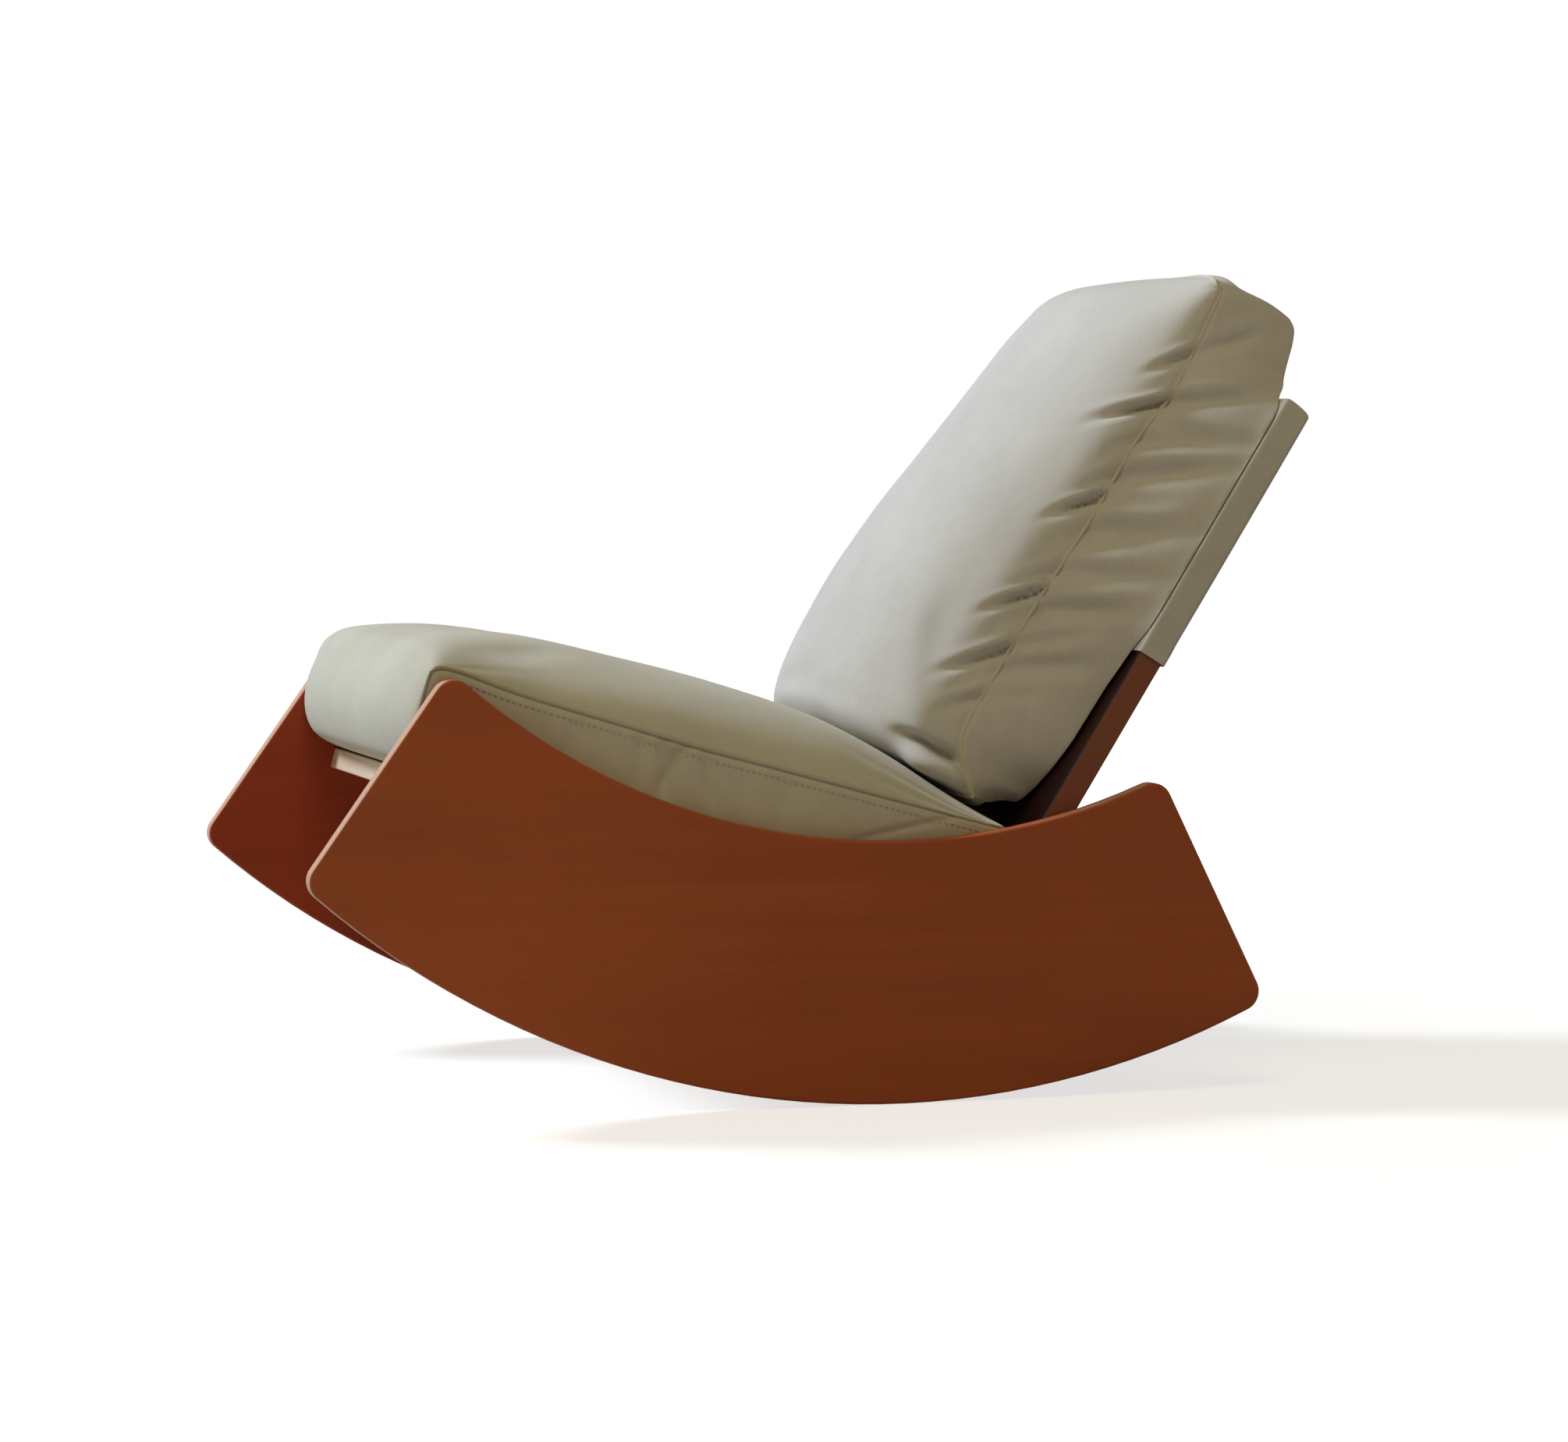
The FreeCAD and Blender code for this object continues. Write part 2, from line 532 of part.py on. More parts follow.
def bolt_inserts():
    """Threaded inserts in the side panels, bored for the stile bolts."""
    frame = tilted("back_lean")
    members = []
    for number in range(int(size("stile_bolt_count"))):
        along = size("stile_bolt_low") + number * size("stile_bolt_pitch")
        for side in (-1, 1):
            name = f"insert_{len(members) + 1}"
            start = Vector(side * inner_half, stile_middle, along)
            outward = Vector(side, 0, 0)
            sleeve = rod(f"{name}_sleeve", frame, start, outward, "$insert_diameter", "$insert_length")
            bore = rod(f"{name}_bore", frame, start, outward,
                       "$stile_bolt_diameter + 2 * $hole_clearance", "$insert_length")
            insert = doc.addObject("Part::Cut", name)
            insert.Base = sleeve
            insert.Tool = bore
            members.append(insert)
    return group("stile_bolt_inserts", members)


def closed_wire(points, bulges):
    """A closed outline through points. A side is straight, or an arc through its point in bulges."""
    edges = []
    for index, start in enumerate(points):
        end = points[(index + 1) % len(points)]
        if index in bulges:
            edges.append(Part.Arc(start, bulges[index], end).toShape())
        else:
            edges.append(Part.LineSegment(start, end).toShape())
    return Part.Wire(edges)


def arc_middle(start, heading, end):
    """The middle of the arc that leaves start along a heading and ends at end."""
    chord = end - start
    middle = (Vector(heading).normalize() + Vector(chord).normalize()).normalize()
    return start + middle * (chord.Length**2 / (2 * middle.dot(chord)))


def seat_section(across, share, inset):
    """The seat cushion's outline along the seat at a share of its crown, drawn in by an inset."""
    floor = size("platform_height") + size("cushion_clearance") + inset
    seam = size("platform_height") + size("seat_boxing") - inset
    top = seam + share * size("seat_crown")
    rear = size("seat_cushion_rear") - inset
    front = size("seat_cushion_front") - share * size("seat_front_swell") + inset

    def at(along, height):
        return Vector(across, along, height)

    rear_foot = at(rear, floor)
    rear_seam = at(rear + size("seat_rear_lean"), seam)
    crown_rear = at(rear - size("seat_rear_slope"), top)
    crown_front = at(front + size("seat_brow") + share * size("seat_brow_swell"), top)
    turn = size("seat_shoulder") + share * size("seat_shoulder_swell")
    shoulder = at(front + turn, top - turn)
    nose = at(front, floor + size("seat_nose") + share * size("seat_nose_swell"))
    front_foot = at(front + size("seat_tuck"), floor)
    ahead, upward = Vector(0, -1, 0), Vector(0, 0, 1)
    points = [rear_foot, rear_seam, crown_rear, crown_front, shoulder, nose, front_foot]
    bulges = {
        1: arc_middle(crown_rear, -ahead, rear_seam),
        3: arc_middle(crown_front, ahead, shoulder),
        4: arc_middle(nose, upward, shoulder),
        5: arc_middle(nose, -upward, front_foot),
    }
    return closed_wire(points, bulges)


def seat_cushion_form(inset):
    """The seat cushion's closed form: flat sides between the panels, a crowned top and a rounded front."""
    half = size("seat_cushion_width") / 2
    least_share = 0.02
    fullness = 5
    sections = []
    for fraction in (-1, -0.96, -0.87, -0.7, -0.4, 0, 0.4, 0.7, 0.87, 0.96, 1):
        share = max(1 - abs(fraction) ** fullness, least_share)
        sections.append(seat_section(fraction * (half - inset), share, inset))
    return Part.makeLoft(sections, True, False)


def back_section(fraction, share, rounding, inset):
    """The back cushion's outline across the chair at a fraction of its length, drawn in by an inset."""
    along = size("back_cushion_low") + inset + fraction * (size("back_cushion_length") - 2 * inset)
    between_corners = 1 - (2 * fraction - 1) ** 4
    half = size("back_cushion_width") / 2 - inset
    seam_half = half - between_corners * size("side_draw")
    rear_half = half + between_corners * size("side_flare")
    sleeve_face = size("stile_front") - size("sleeve_clearance") - size("cloth_thickness")
    rear = sleeve_face - size("sleeve_gap") - rounding - inset
    seam = sleeve_face - size("back_boxing") + inset
    crown = share * size("back_crown")
    shoulder = size("back_shoulder") * seam_half
    shoulder_front = seam - size("back_shoulder_rise") * crown
    flank = size("back_flank") * seam_half
    flank_front = seam - size("back_flank_rise") * crown
    side = (rear_half + seam_half) / 2 + size("side_bulge")

    def at(across, through):
        return Vector(across, through, along)

    points = [at(-rear_half, rear), at(rear_half, rear), at(seam_half, seam), at(shoulder, shoulder_front),
              at(-shoulder, shoulder_front), at(-seam_half, seam)]
    bulges = {
        1: at(side, (rear + seam) / 2),
        2: at(flank, flank_front),
        3: at(0, seam - crown),
        4: at(-flank, flank_front),
        5: at(-side, (rear + seam) / 2),
    }
    return closed_wire(points, bulges)


def back_cushion_form(inset):
    """The back cushion's closed form: boxed sides, fullest low down, thinning and rounded off at its top."""
    crown_shares = ((0, 0.78), (0.04, 0.88), (0.12, 0.97), (0.25, 1), (0.42, 0.96), (0.62, 0.82), (0.8, 0.72),
                    (0.86, 0.68), (0.9, 0.62), (0.93, 0.54), (0.96, 0.42), (0.985, 0.24), (1, 0.08))
    round_start = 0.9
    sections = []
    for fraction, share in crown_shares:
        reach = max(0, fraction - round_start) / (1 - round_start)
        rounding = size("top_round") * (1 - math.sqrt(1 - reach**2))
        sections.append(back_section(fraction, share, rounding, inset))
    return Part.makeLoft(sections, True, False)


def soft_piece(label, shape, tilt):
    """A soft solid in a tilted frame."""
    piece = doc.addObject("Part::Feature", label)
    piece.Label = label
    piece.Shape = shape
    piece.Placement = tilted(tilt)
    return piece


def cushion(cover_label, core_label, form, tilt):
    """A cushion's sewn cover and the foam core inside it."""
    outside = soft_piece(f"{cover_label}_outside", form(0), tilt)
    inside = soft_piece(f"{cover_label}_inside", form(size("cloth_thickness")), tilt)
    cover = doc.addObject("Part::Cut", cover_label)
    cover.Label = cover_label
    cover.Base = outside
    cover.Tool = inside
    core = soft_piece(core_label, form(size("cloth_thickness") + size("core_clearance")), tilt)
    return [cover, core]


def back_sleeve():
    """The back cushion's cloth sleeve: a pocket, open below, that slips down over the top of the back."""
    frame = tilted("back_lean")
    stile_top = "$stile_foot + $stile_length"

    def block(name, grow, low, high):
        box = doc.addObject("Part::Box", name)
        box.setExpression("Length", cells(f"(2 * ({INNER} + {grow})) * 1mm"))
        box.setExpression("Width", cells(f"($stile_depth + 2 * ({grow})) * 1mm"))
        box.setExpression("Height", cells(f"({high} - ({low})) * 1mm"))
        return box

    outside = block("sleeve_outside", "($sleeve_clearance + $cloth_thickness)", "$sleeve_low",
                    f"{stile_top} + $sleeve_clearance + $cloth_thickness")
    inside = block("sleeve_inside", "$sleeve_clearance", "$sleeve_low", f"{stile_top} + $sleeve_clearance")
    for box, grow in ((outside, size("sleeve_clearance") + size("cloth_thickness")),
                      (inside, size("sleeve_clearance"))):
        corner = Vector(-inner_half - grow, size("stile_front") - grow, size("sleeve_low"))
        box.Placement = frame.multiply(Placement(corner, Rotation()))
    sleeve = doc.addObject("Part::Cut", "back_sleeve")
    sleeve.Label = "back_sleeve"
    sleeve.Base = outside
    sleeve.Tool = inside
    return sleeve


def all_pieces():
    """Every sub-part of the chair."""
    pieces = []
    for build in (side_panel, seat_cleat, back_stile):
        left = build()
        pieces += [left, mirrored(left, left.Label.replace("left", "right"))]
    pieces.append(front_rail())
    pieces += [seat_slat(number) for number in range(int(size("seat_slat_count")))]
    last = int(size("rung_count")) - 1
    ends = {0: "back_bottom_rail", last: "back_top_rail"}
    pieces += [back_rung(number, ends.get(number, f"back_slat_{number}")) for number in range(last + 1)]
    pieces += [slat_screws(), cleat_screws(), rail_dowels(), stile_bolts(), bolt_inserts()]
    pieces += cushion("seat_cushion_cover", "seat_cushion_core", seat_cushion_form, "seat_tilt")
    pieces += cushion("back_cushion_cover", "back_cushion_core", back_cushion_form, "back_lean")
    pieces.append(back_sleeve())
    return pieces


pieces = all_pieces()
doc.recompute()
for item in doc.Objects:
    if {"Invalid", "Error"} & set(item.State):
        raise RuntimeError(f"{item.Label} failed: {item.State}")
for piece in pieces:
    if piece.Shape.isNull() or not piece.Shape.isValid() or not piece.Shape.Solids:
        raise RuntimeError(f"{piece.Label} has no valid solid")

os.makedirs("parts", exist_ok=True)
for piece in pieces:
    piece.Shape.exportStep(f"parts/{piece.Label}.step")
    print(piece.Label, len(piece.Shape.Solids), round(piece.Shape.Volume / 1000, 1), "cm3")
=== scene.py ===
"""Looks of an upholstered rocking chair: stained rocker boards, pale slats and loose canvas cushions.

The seat and the back each have a frame on the line where the rockers touch the floor. A seat point is
(across, along to the rear, up from the seat's own plane) and a back point is (across, up along the back,
out to the front).
"""

import math

import bpy
import numpy as np
from bpy.props import FloatProperty, FloatVectorProperty, PointerProperty
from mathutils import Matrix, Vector
from mathutils.bvhtree import BVHTree


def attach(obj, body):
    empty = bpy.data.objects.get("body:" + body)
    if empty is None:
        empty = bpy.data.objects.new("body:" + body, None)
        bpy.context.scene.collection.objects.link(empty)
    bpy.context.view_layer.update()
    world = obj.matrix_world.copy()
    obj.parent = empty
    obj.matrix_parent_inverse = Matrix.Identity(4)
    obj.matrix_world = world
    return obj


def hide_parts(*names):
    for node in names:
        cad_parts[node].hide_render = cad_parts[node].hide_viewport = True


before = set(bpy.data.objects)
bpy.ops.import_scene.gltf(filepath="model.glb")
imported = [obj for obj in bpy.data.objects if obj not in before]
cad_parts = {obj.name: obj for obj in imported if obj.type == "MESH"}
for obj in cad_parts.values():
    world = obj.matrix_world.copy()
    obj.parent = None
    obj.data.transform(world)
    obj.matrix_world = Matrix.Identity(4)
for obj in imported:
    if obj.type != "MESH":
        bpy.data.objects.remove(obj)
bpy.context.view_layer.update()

bl_info = {
    "name": "Upholstered rocking chair",
    "version": (1, 0, 0),
    "blender": (4, 5, 0),
    "location": "View3D > Sidebar > Chair",
    "description": "Cushions, seams, finishes and stage of an upholstered rocking chair",
    "category": "Object",
}

CONTACT_Y = 0.071
SEAT_TILT = math.radians(14.7)
BACK_LEAN = math.radians(32)
# Lattice places this near to 0 or 1 lie on an edge, and this share of the way out they lie on a side
EDGE = 1e-6
ON_SIDE = 0.999

PANELS = ("left_rocker_panel", "right_rocker_panel")
STILES = ("left_back_stile", "right_back_stile")
SLATS = tuple(f"seat_slat_{number}" for number in range(1, 6))
SEAT_BOARDS = SLATS + ("seat_front_rail", "left_seat_cleat", "right_seat_cleat", "front_rail_dowels")
BACK_BOARDS = ("back_bottom_rail", "back_top_rail") + tuple(f"back_slat_{number}" for number in range(1, 5))
FASTENERS = ("seat_slat_screws", "cleat_screws", "stile_bolts", "stile_bolt_inserts")

# Tints of the stain on the panels, on the stiles and back rails and on the panels' inner faces, and the angle
# that the ply's layers turn a wave in a metre. The inner faces' darker, redder tint is painted shade and red
# bounce light between the panels.
PLAIN_TINT = (1, 1, 1)
DEEP_TINT = (0.55, 0.75, 1.2)
INNER_SHADE_TINT = (0.80, 0.50, 0.55)
PLY_LAYERS = 2400

# The cushions' air and lattices, and the gaps, seams and stitches of the cloth in metres
SEAT_SPANS = (84, 88, 16)
BACK_SPANS = (72, 84, 16)
AIR_PRESSURE = 3.0
AIR_FRAMES = 20
AIR_SMOOTHING = 14
CUSHION_GAP = 0.0015
CLOTH_THICKNESS = 0.0016
STITCH_LENGTH, STITCH_GAP, STITCH_RADIUS = 0.0042, 0.0022, 0.0005
STITCH_DROP = 0.008
STITCH_START = 6
SEAT_SEAM_DEPTH, BACK_SEAM_DEPTH = 0.0032, 0.003
HEEL_SET_BACK = 0.004
FAN_SIDE = 0.297
TUCK_DEPTH = 0.020

# The stage: places and sides in metres
LAMP_AIM = (0, 0, 0.4)
KEY_PLACE, KEY_SIDE, KEY_TINT = (-3.2, -4.65, 5.0), 1.5, (0.65, 0.775, 1.0)
FILL_PLACE, FILL_SIDE = (2.0, -0.9, 3.3), 1.4
WARM_TINT = (1.0, 0.87, 0.58)
CAMERA_TARGET = (0, CONTACT_Y - 0.02547, 0.3614)
FLOOR_HALF = 9.0
NEAR_GLOW, FAR_GLOW = (0.70, 0.70, 0.70), (1.10, 1.10, 1.10)


def length(name, description, default):
    """A size in metres that a user may change."""
    return FloatProperty(name=name, description=description, default=default, unit="LENGTH",
                         subtype="DISTANCE")


def colour(name, description, default):
    """A colour that a user may change."""
    return FloatVectorProperty(name=name, description=description, default=default, size=3, min=0, max=1,
                               subtype="COLOR")


class SeatCushionSizes(bpy.types.PropertyGroup):
    """Sizes of the seat cushion in the seat's frame."""

    half_width: length("Half width", "From the middle to the boxing", 0.2955)
    foot: length("Foot", "Height of the underside", 0.2003)
    seam: length("Seam", "Height of the side seam", 0.2965)
    crown: length("Crown", "Rise of the middle above the side seam", 0.059)
    swell: length("Swell", "How far the air may lift the cloth", 0.006)
    welt: length("Welt", "Radius of the cord in the side seams", 0.0018)


class BackCushionSizes(bpy.types.PropertyGroup):
    """Sizes of the back cushion in the back's frame."""

    high: length("High end", "Top corners along the back", 0.893)
    half_width: length("Half width", "From the middle to the front seam's corners", 0.247)
    pucker: length("Puckers", "Depth of the folds along the front seam", 0.0100)
    swell: length("Swell", "How far the air may lift the cloth", 0.006)
    welt: length("Welt", "Radius of the cord in the front seam", 0.0021)


class SleeveSizes(bpy.types.PropertyGroup):
    """Sizes of the cloth sleeve that slips over the back, in the back's frame."""

    hem: length("Hem", "Lower edge along the back", 0.512)
    top: length("Top", "Upper end along the back", 0.811)
    half_width: length("Half width", "From the middle to the side faces", 0.3005)
    front: length("Front", "Front face in front of the stiles' middle", 0.0166)
    rear: length("Rear", "Rear face in front of the stiles' middle", -0.0148)
    corner: length("Corner", "Radius of the sleeve's corners", 0.004)


class FinishColours(bpy.types.PropertyGroup):
    """Colours of the finishes."""

    stain: colour("Stain", "Stained veneer of the rocker boards", (0.45, 0.108, 0.033))
    stain_dark: colour("Dark stain", "Darker figure in the stained veneer", (0.365, 0.084, 0.026))
    # Painted shade: a nearly black colour on the fronts of the stiles and back rails, standing in for the
    # cushion's shadow on them
    shade: colour("Inner stain", "Stain of the faces that turn to the cushions", (0.016, 0.0035, 0.0022))
    ply: colour("Board edge", "Bare edge of the rocker boards", (0.62, 0.34, 0.21))
    pale: colour("Pale wood", "Rails and slats", (0.80, 0.61, 0.40))
    canvas: colour("Canvas", "Cloth of the back cushion and the sleeve", (0.605, 0.565, 0.485))
    thread: colour("Thread", "Cord in the back cushion's seam", (0.64, 0.57, 0.41))
    # Painted light: the seat's canvas is the back's canvas made darker and yellower, for the warm light that
    # falls on the seat
    seat_canvas_warm_lit: colour("Seat canvas", "Cloth of the seat cushion", (0.575, 0.530, 0.400))
    seat_thread: colour("Seat thread", "Cord in the seat cushion's seams", (0.36, 0.32, 0.235))
    steel: colour("Steel", "Screws and bolts", (0.55, 0.55, 0.56))


class StageSizes(bpy.types.PropertyGroup):
    """Camera, lamps and floor."""

    azimuth: FloatProperty(name="Azimuth", description="Camera's direction round the chair",
                           default=math.radians(73.798), subtype="ANGLE", unit="ROTATION")
    elevation: FloatProperty(name="Elevation", description="Camera's height angle",
                             default=math.radians(3.02), subtype="ANGLE", unit="ROTATION")
    distance: length("Distance", "Camera from the point that it looks at", 4.5766)
    lens: FloatProperty(name="Lens", description="Focal length", default=100.2985, subtype="DISTANCE_CAMERA")
    floor: colour("Floor", "Colour of the floor", (0.52, 0.47, 0.39))
    key: FloatProperty(name="Key lamp", description="Power of the lamp in front", default=607, subtype="POWER")
    fill: FloatProperty(name="Fill lamp", description="Power of the lamp above the camera", default=27,
                        subtype="POWER")
    sky: FloatProperty(name="Sky", description="Strength of the light from all round", default=0.155)


class ChairSettings(bpy.types.PropertyGroup):
    """All the sizes and colours of the chair."""

    seat: PointerProperty(type=SeatCushionSizes)
    back: PointerProperty(type=BackCushionSizes)
    sleeve: PointerProperty(type=SleeveSizes)
    colours: PointerProperty(type=FinishColours)
    stage: PointerProperty(type=StageSizes)


class Wire:
    """A socket in a finish. Python's operators on it add Math nodes."""

    def __init__(self, finish, socket):
        self.finish = finish
        self.socket = socket

    def math(self, operation, first, second):
        return self.finish.node("ShaderNodeMath", {"operation": operation}, {0: first, 1: second})

    def __add__(self, other):
        return self.math("ADD", self, other)

    def __radd__(self, other):
        return self.math("ADD", other, self)

    def __sub__(self, other):
        return self.math("SUBTRACT", self, other)

    def __rsub__(self, other):
        return self.math("SUBTRACT", other, self)

    def __mul__(self, other):
        return self.math("MULTIPLY", self, other)

    def __rmul__(self, other):
        return self.math("MULTIPLY", other, self)


class Finish:
    """The nodes of a material, or of the world where one is given."""

    def __init__(self, name, world=None):
        self.holder = world or bpy.data.materials.new(name)
        self.holder.use_nodes = True
        self.tree = self.holder.node_tree
        self.tree.nodes.clear()

    def node(self, kind, settings=None, inputs=None, output=0):
        """Add a node: its settings first, then its sockets' values and links."""
        made = self.tree.nodes.new(kind)
        for name, value in (settings or {}).items():
            setattr(made, name, value)
        for name, value in (inputs or {}).items():
            if isinstance(value, Wire):
                self.tree.links.new(value.socket, made.inputs[name])
            else:
                made.inputs[name].default_value = value
        return Wire(self, made.outputs[output]) if made.outputs else None

    def place(self, turn=0.0, scale=(1, 1, 1)):
        """Points of the surface in metres, turned about X and stretched."""
        points = self.node("ShaderNodeTexCoord", output="Object")
        return self.node("ShaderNodeMapping", {"vector_type": "POINT"},
                         {"Vector": points, "Rotation": (turn, 0, 0), "Scale": scale})

    def noise(self, points, scale, detail=3.0, roughness=0.55):
        """Cloudy values from 0 to 1."""
        return self.node("ShaderNodeTexNoise", {"noise_dimensions": "3D"},
                         {"Vector": points, "Scale": scale, "Detail": detail, "Roughness": roughness})

    def ramp(self, value, low, high):
        """A value spread so that low becomes 0 and high becomes 1."""
        return self.node("ShaderNodeMapRange", {"clamp": True, "interpolation_type": "SMOOTHSTEP"},
                         {"Value": value, "From Min": low, "From Max": high})

    def mix(self, share, first, second):
        """A colour between two colours."""
        first = (*first, 1) if not isinstance(first, Wire) else first
        second = (*second, 1) if not isinstance(second, Wire) else second
        return self.node("ShaderNodeMix", {"data_type": "RGBA"}, {0: share, 6: first, 7: second}, output=2)

    def bump(self, height, strength, distance, under=None):
        """A bump from heights, over another bump if one is given."""
        inputs = {"Strength": strength, "Distance": distance, "Height": height}
        if under:
            inputs["Normal"] = under
        return self.node("ShaderNodeBump", None, inputs)

    def surface(self, **inputs):
        """The shader, by its sockets' names with underscores for blanks."""
        named = {name.replace("_", " "): value for name, value in inputs.items()}
        shader = self.node("ShaderNodeBsdfPrincipled", None, named)
        self.node("ShaderNodeOutputMaterial", None, {"Surface": shader})
        return self.holder

    def seen(self):
        """1 where the camera, a reflection or clear glass looks, and 0 for light that falls on the chair."""
        camera, glossy, clear = (self.node("ShaderNodeLightPath", output=f"Is {kind} Ray")
                                 for kind in ("Camera", "Glossy", "Transmission"))
        return self.node("ShaderNodeMath", {"operation": "MINIMUM"}, {0: camera + glossy + clear, 1: 1.0})

    def facing(self, direction):
        """How far the surface faces a direction, from -1 to 1."""
        normal = self.node("ShaderNodeNewGeometry", output="Normal")
        return self.node("ShaderNodeVectorMath", {"operation": "DOT_PRODUCT"}, {0: normal, 1: direction},
                         output="Value")


def stained_wood(name, colours, tint, turn, grain, ply_edge_and_lit_front=False, painted_front_shade=False):
    """Stained veneer, its stain times a tint. The grain is the figure's stretch along each axis.

    A panel's edges show the bare ply's pale colour only where they face the front, towards the key lamp: partly
    the ply's own colour, partly painted light. Its inner faces get painted shade, a darker and redder stain.
    The front of a stile or back rail is painted nearly black as the shade that the cushion casts on it.
    """
    finish = Finish(name)
    dark, light = (tuple(np.multiply(tone, tint)) for tone in (colours.stain_dark, colours.stain))
    figure = finish.noise(finish.place(turn, grain), 1.0, 5.0, 0.62)
    cloud = finish.noise(finish.place(turn), 4.0, 2.0)
    fine = finish.noise(finish.place(turn, tuple(5 * part for part in grain)), 3.0, 4.0)
    shade = finish.ramp(figure * 0.5 + cloud * 0.4 + fine * 0.1, 0.36, 0.64)
    base = finish.mix(shade, dark, light)
    base = finish.mix(finish.ramp(fine, 0.58, 0.72) * 0.18, base, tuple(0.4 * part for part in dark))
    edge = 0.0
    if ply_edge_and_lit_front:
        across, ahead = finish.facing((1, 0, 0)), finish.facing((0, -1, 0))
        points = finish.node("ShaderNodeTexCoord", output="Object")
        depth = finish.node("ShaderNodeSeparateXYZ", None, {"Vector": points}, output="X")
        # Painted shade: faces that turn to the middle get a darker, redder copy of the stain for their shade
        # and the red light bouncing between the panels
        inner = finish.ramp(0 - across * depth, 0.1, 0.25)
        red = finish.mix(shade, *(tuple(np.multiply(tone, INNER_SHADE_TINT)) for tone in (dark, light)))
        base = finish.mix(inner, base, red)
        flat = finish.node("ShaderNodeMath", {"operation": "ABSOLUTE"}, {0: across})
        edge = 1 - finish.ramp(flat, 0.30, 0.86)
        layers = finish.node("ShaderNodeMath", {"operation": "SINE"}, {0: depth * PLY_LAYERS})
        layers = finish.ramp(layers + finish.noise(finish.place(turn, (300, 30, 30)), 1.0) * 0.8, -0.2, 1.2)
        pale = finish.mix(layers * 0.4, tuple(colours.ply), tuple(0.7 * part for part in colours.ply))
        # Partly the bare ply's own pale colour, partly painted light: it shows only on edges facing the front,
        # towards the key lamp, while the top edges keep the stain
        base = finish.mix(edge * finish.ramp(ahead, 0.15, 0.5), base, pale)
    if painted_front_shade:
        # Painted shade: faces of the stiles and back rails that look to the front turn nearly black, for the
        # cushion's shadow on them
        ahead = finish.facing((0, -math.cos(BACK_LEAN), math.sin(BACK_LEAN)))
        base = finish.mix(finish.ramp(ahead, 0.45, 0.8), base, tuple(colours.shade))
    normal = finish.bump(figure * 0.4 + fine * 0.6, 0.10, 0.0005)
    return finish.surface(Base_Color=base, Roughness=0.40 + 0.14 * figure + 0.1 * edge, Normal=normal,
                          Specular_IOR_Level=0.12)


def grain_along(axis):
    """Stretch of a veneer's figure that runs along an axis: 0, 1 or 2."""
    return tuple(1.6 if number == axis else 26 for number in range(3))


def pale_board(name, colours, turn):
    """Pale varnished wood with its grain across the chair."""
    finish = Finish(name)
    grain = finish.noise(finish.place(turn, (1.2, 22, 22)), 2.2, 5.0, 0.6)
    fine = finish.noise(finish.place(turn, (7, 130, 130)), 2.0, 3.0)
    dark = tuple(0.85 * part for part in colours.pale)
    base = finish.mix(finish.ramp(grain * 0.7 + fine * 0.3, 0.35, 0.68), dark, tuple(colours.pale))
    normal = finish.bump(fine, 0.12, 0.0005)
    return finish.surface(Base_Color=base, Roughness=0.42 + 0.15 * grain, Normal=normal,
                          Specular_IOR_Level=0.5)


def canvas(name, shade, turn):
    """Plain woven cotton canvas: threads of uneven thickness, soft creases and a faint mottle."""
    finish = Finish(name)
    points = finish.place(turn)
    weft = finish.noise(finish.place(turn, (60, 950, 950)), 1.0, 2.0)
    warp = finish.noise(finish.place(turn, (950, 60, 60)), 1.0, 2.0)
    cloud = finish.noise(points, 6.0, 4.0, 0.6)
    weave = weft * 0.5 + warp * 0.5
    tone = finish.ramp(weave * 0.45 + cloud * 0.55, 0.32, 0.68)
    dark, light = tuple(0.9 * part for part in shade), tuple(min(1, 1.06 * part) for part in shade)
    base = finish.mix(tone, dark, light)
    creases = finish.noise(points, 30.0, 3.0, 0.5)
    soft = finish.bump(creases, 0.08, 0.004)
    normal = finish.bump(weave, 0.25, 0.0006, soft)
    return finish.surface(Base_Color=base, Roughness=0.86 + 0.08 * cloud, Normal=normal, Sheen_Weight=0.12,
                          Sheen_Roughness=0.5, Specular_IOR_Level=0.12)


def plated_steel(name, colours):
    """Zinc plated steel with fine turning marks."""
    finish = Finish(name)
    marks = finish.noise(finish.place(0, (900, 900, 900)), 1.0, 3.0)
    base = finish.mix(marks, tuple(0.8 * part for part in colours.steel), tuple(colours.steel))
    return finish.surface(Base_Color=base, Roughness=0.28 + 0.2 * marks, Metallic=1.0,
                          Normal=finish.bump(marks, 0.1, 0.0002))


def dress(names, material):
    """Give CAD nodes a finish."""
    for name in names:
        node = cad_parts[name]
        node.data.materials.clear()
        node.data.materials.append(material)


def seat_points(across, along, up):
    """Points of the seat's frame in the chair's frame."""
    y = CONTACT_Y + along * math.cos(SEAT_TILT) + up * math.sin(SEAT_TILT)
    z = up * math.cos(SEAT_TILT) - along * math.sin(SEAT_TILT)
    return np.column_stack([across, y, z])


def back_points(across, along, out):
    """Points of the back's frame in the chair's frame."""
    y = CONTACT_Y + along * math.sin(BACK_LEAN) - out * math.cos(BACK_LEAN)
    z = along * math.cos(BACK_LEAN) + out * math.sin(BACK_LEAN)
    return np.column_stack([across, y, z])


def box_lattice(spans):
    """Grid points on the faces of a box, as whole numbers, and the quads between them."""
    numbers = {}
    quads = []
    for axis in range(3):
        first, second = (axis + 1) % 3, (axis + 2) % 3
        for side in (0, spans[axis]):
            for row in range(spans[first]):
                for column in range(spans[second]):
                    quad = []
                    for step, shift in ((0, 0), (1, 0), (1, 1), (0, 1)):
                        point = [0, 0, 0]
                        point[axis], point[first], point[second] = side, row + step, column + shift
                        quad.append(numbers.setdefault(tuple(point), len(numbers)))
                    quads.append(quad if side else quad[::-1])
    return numbers, quads


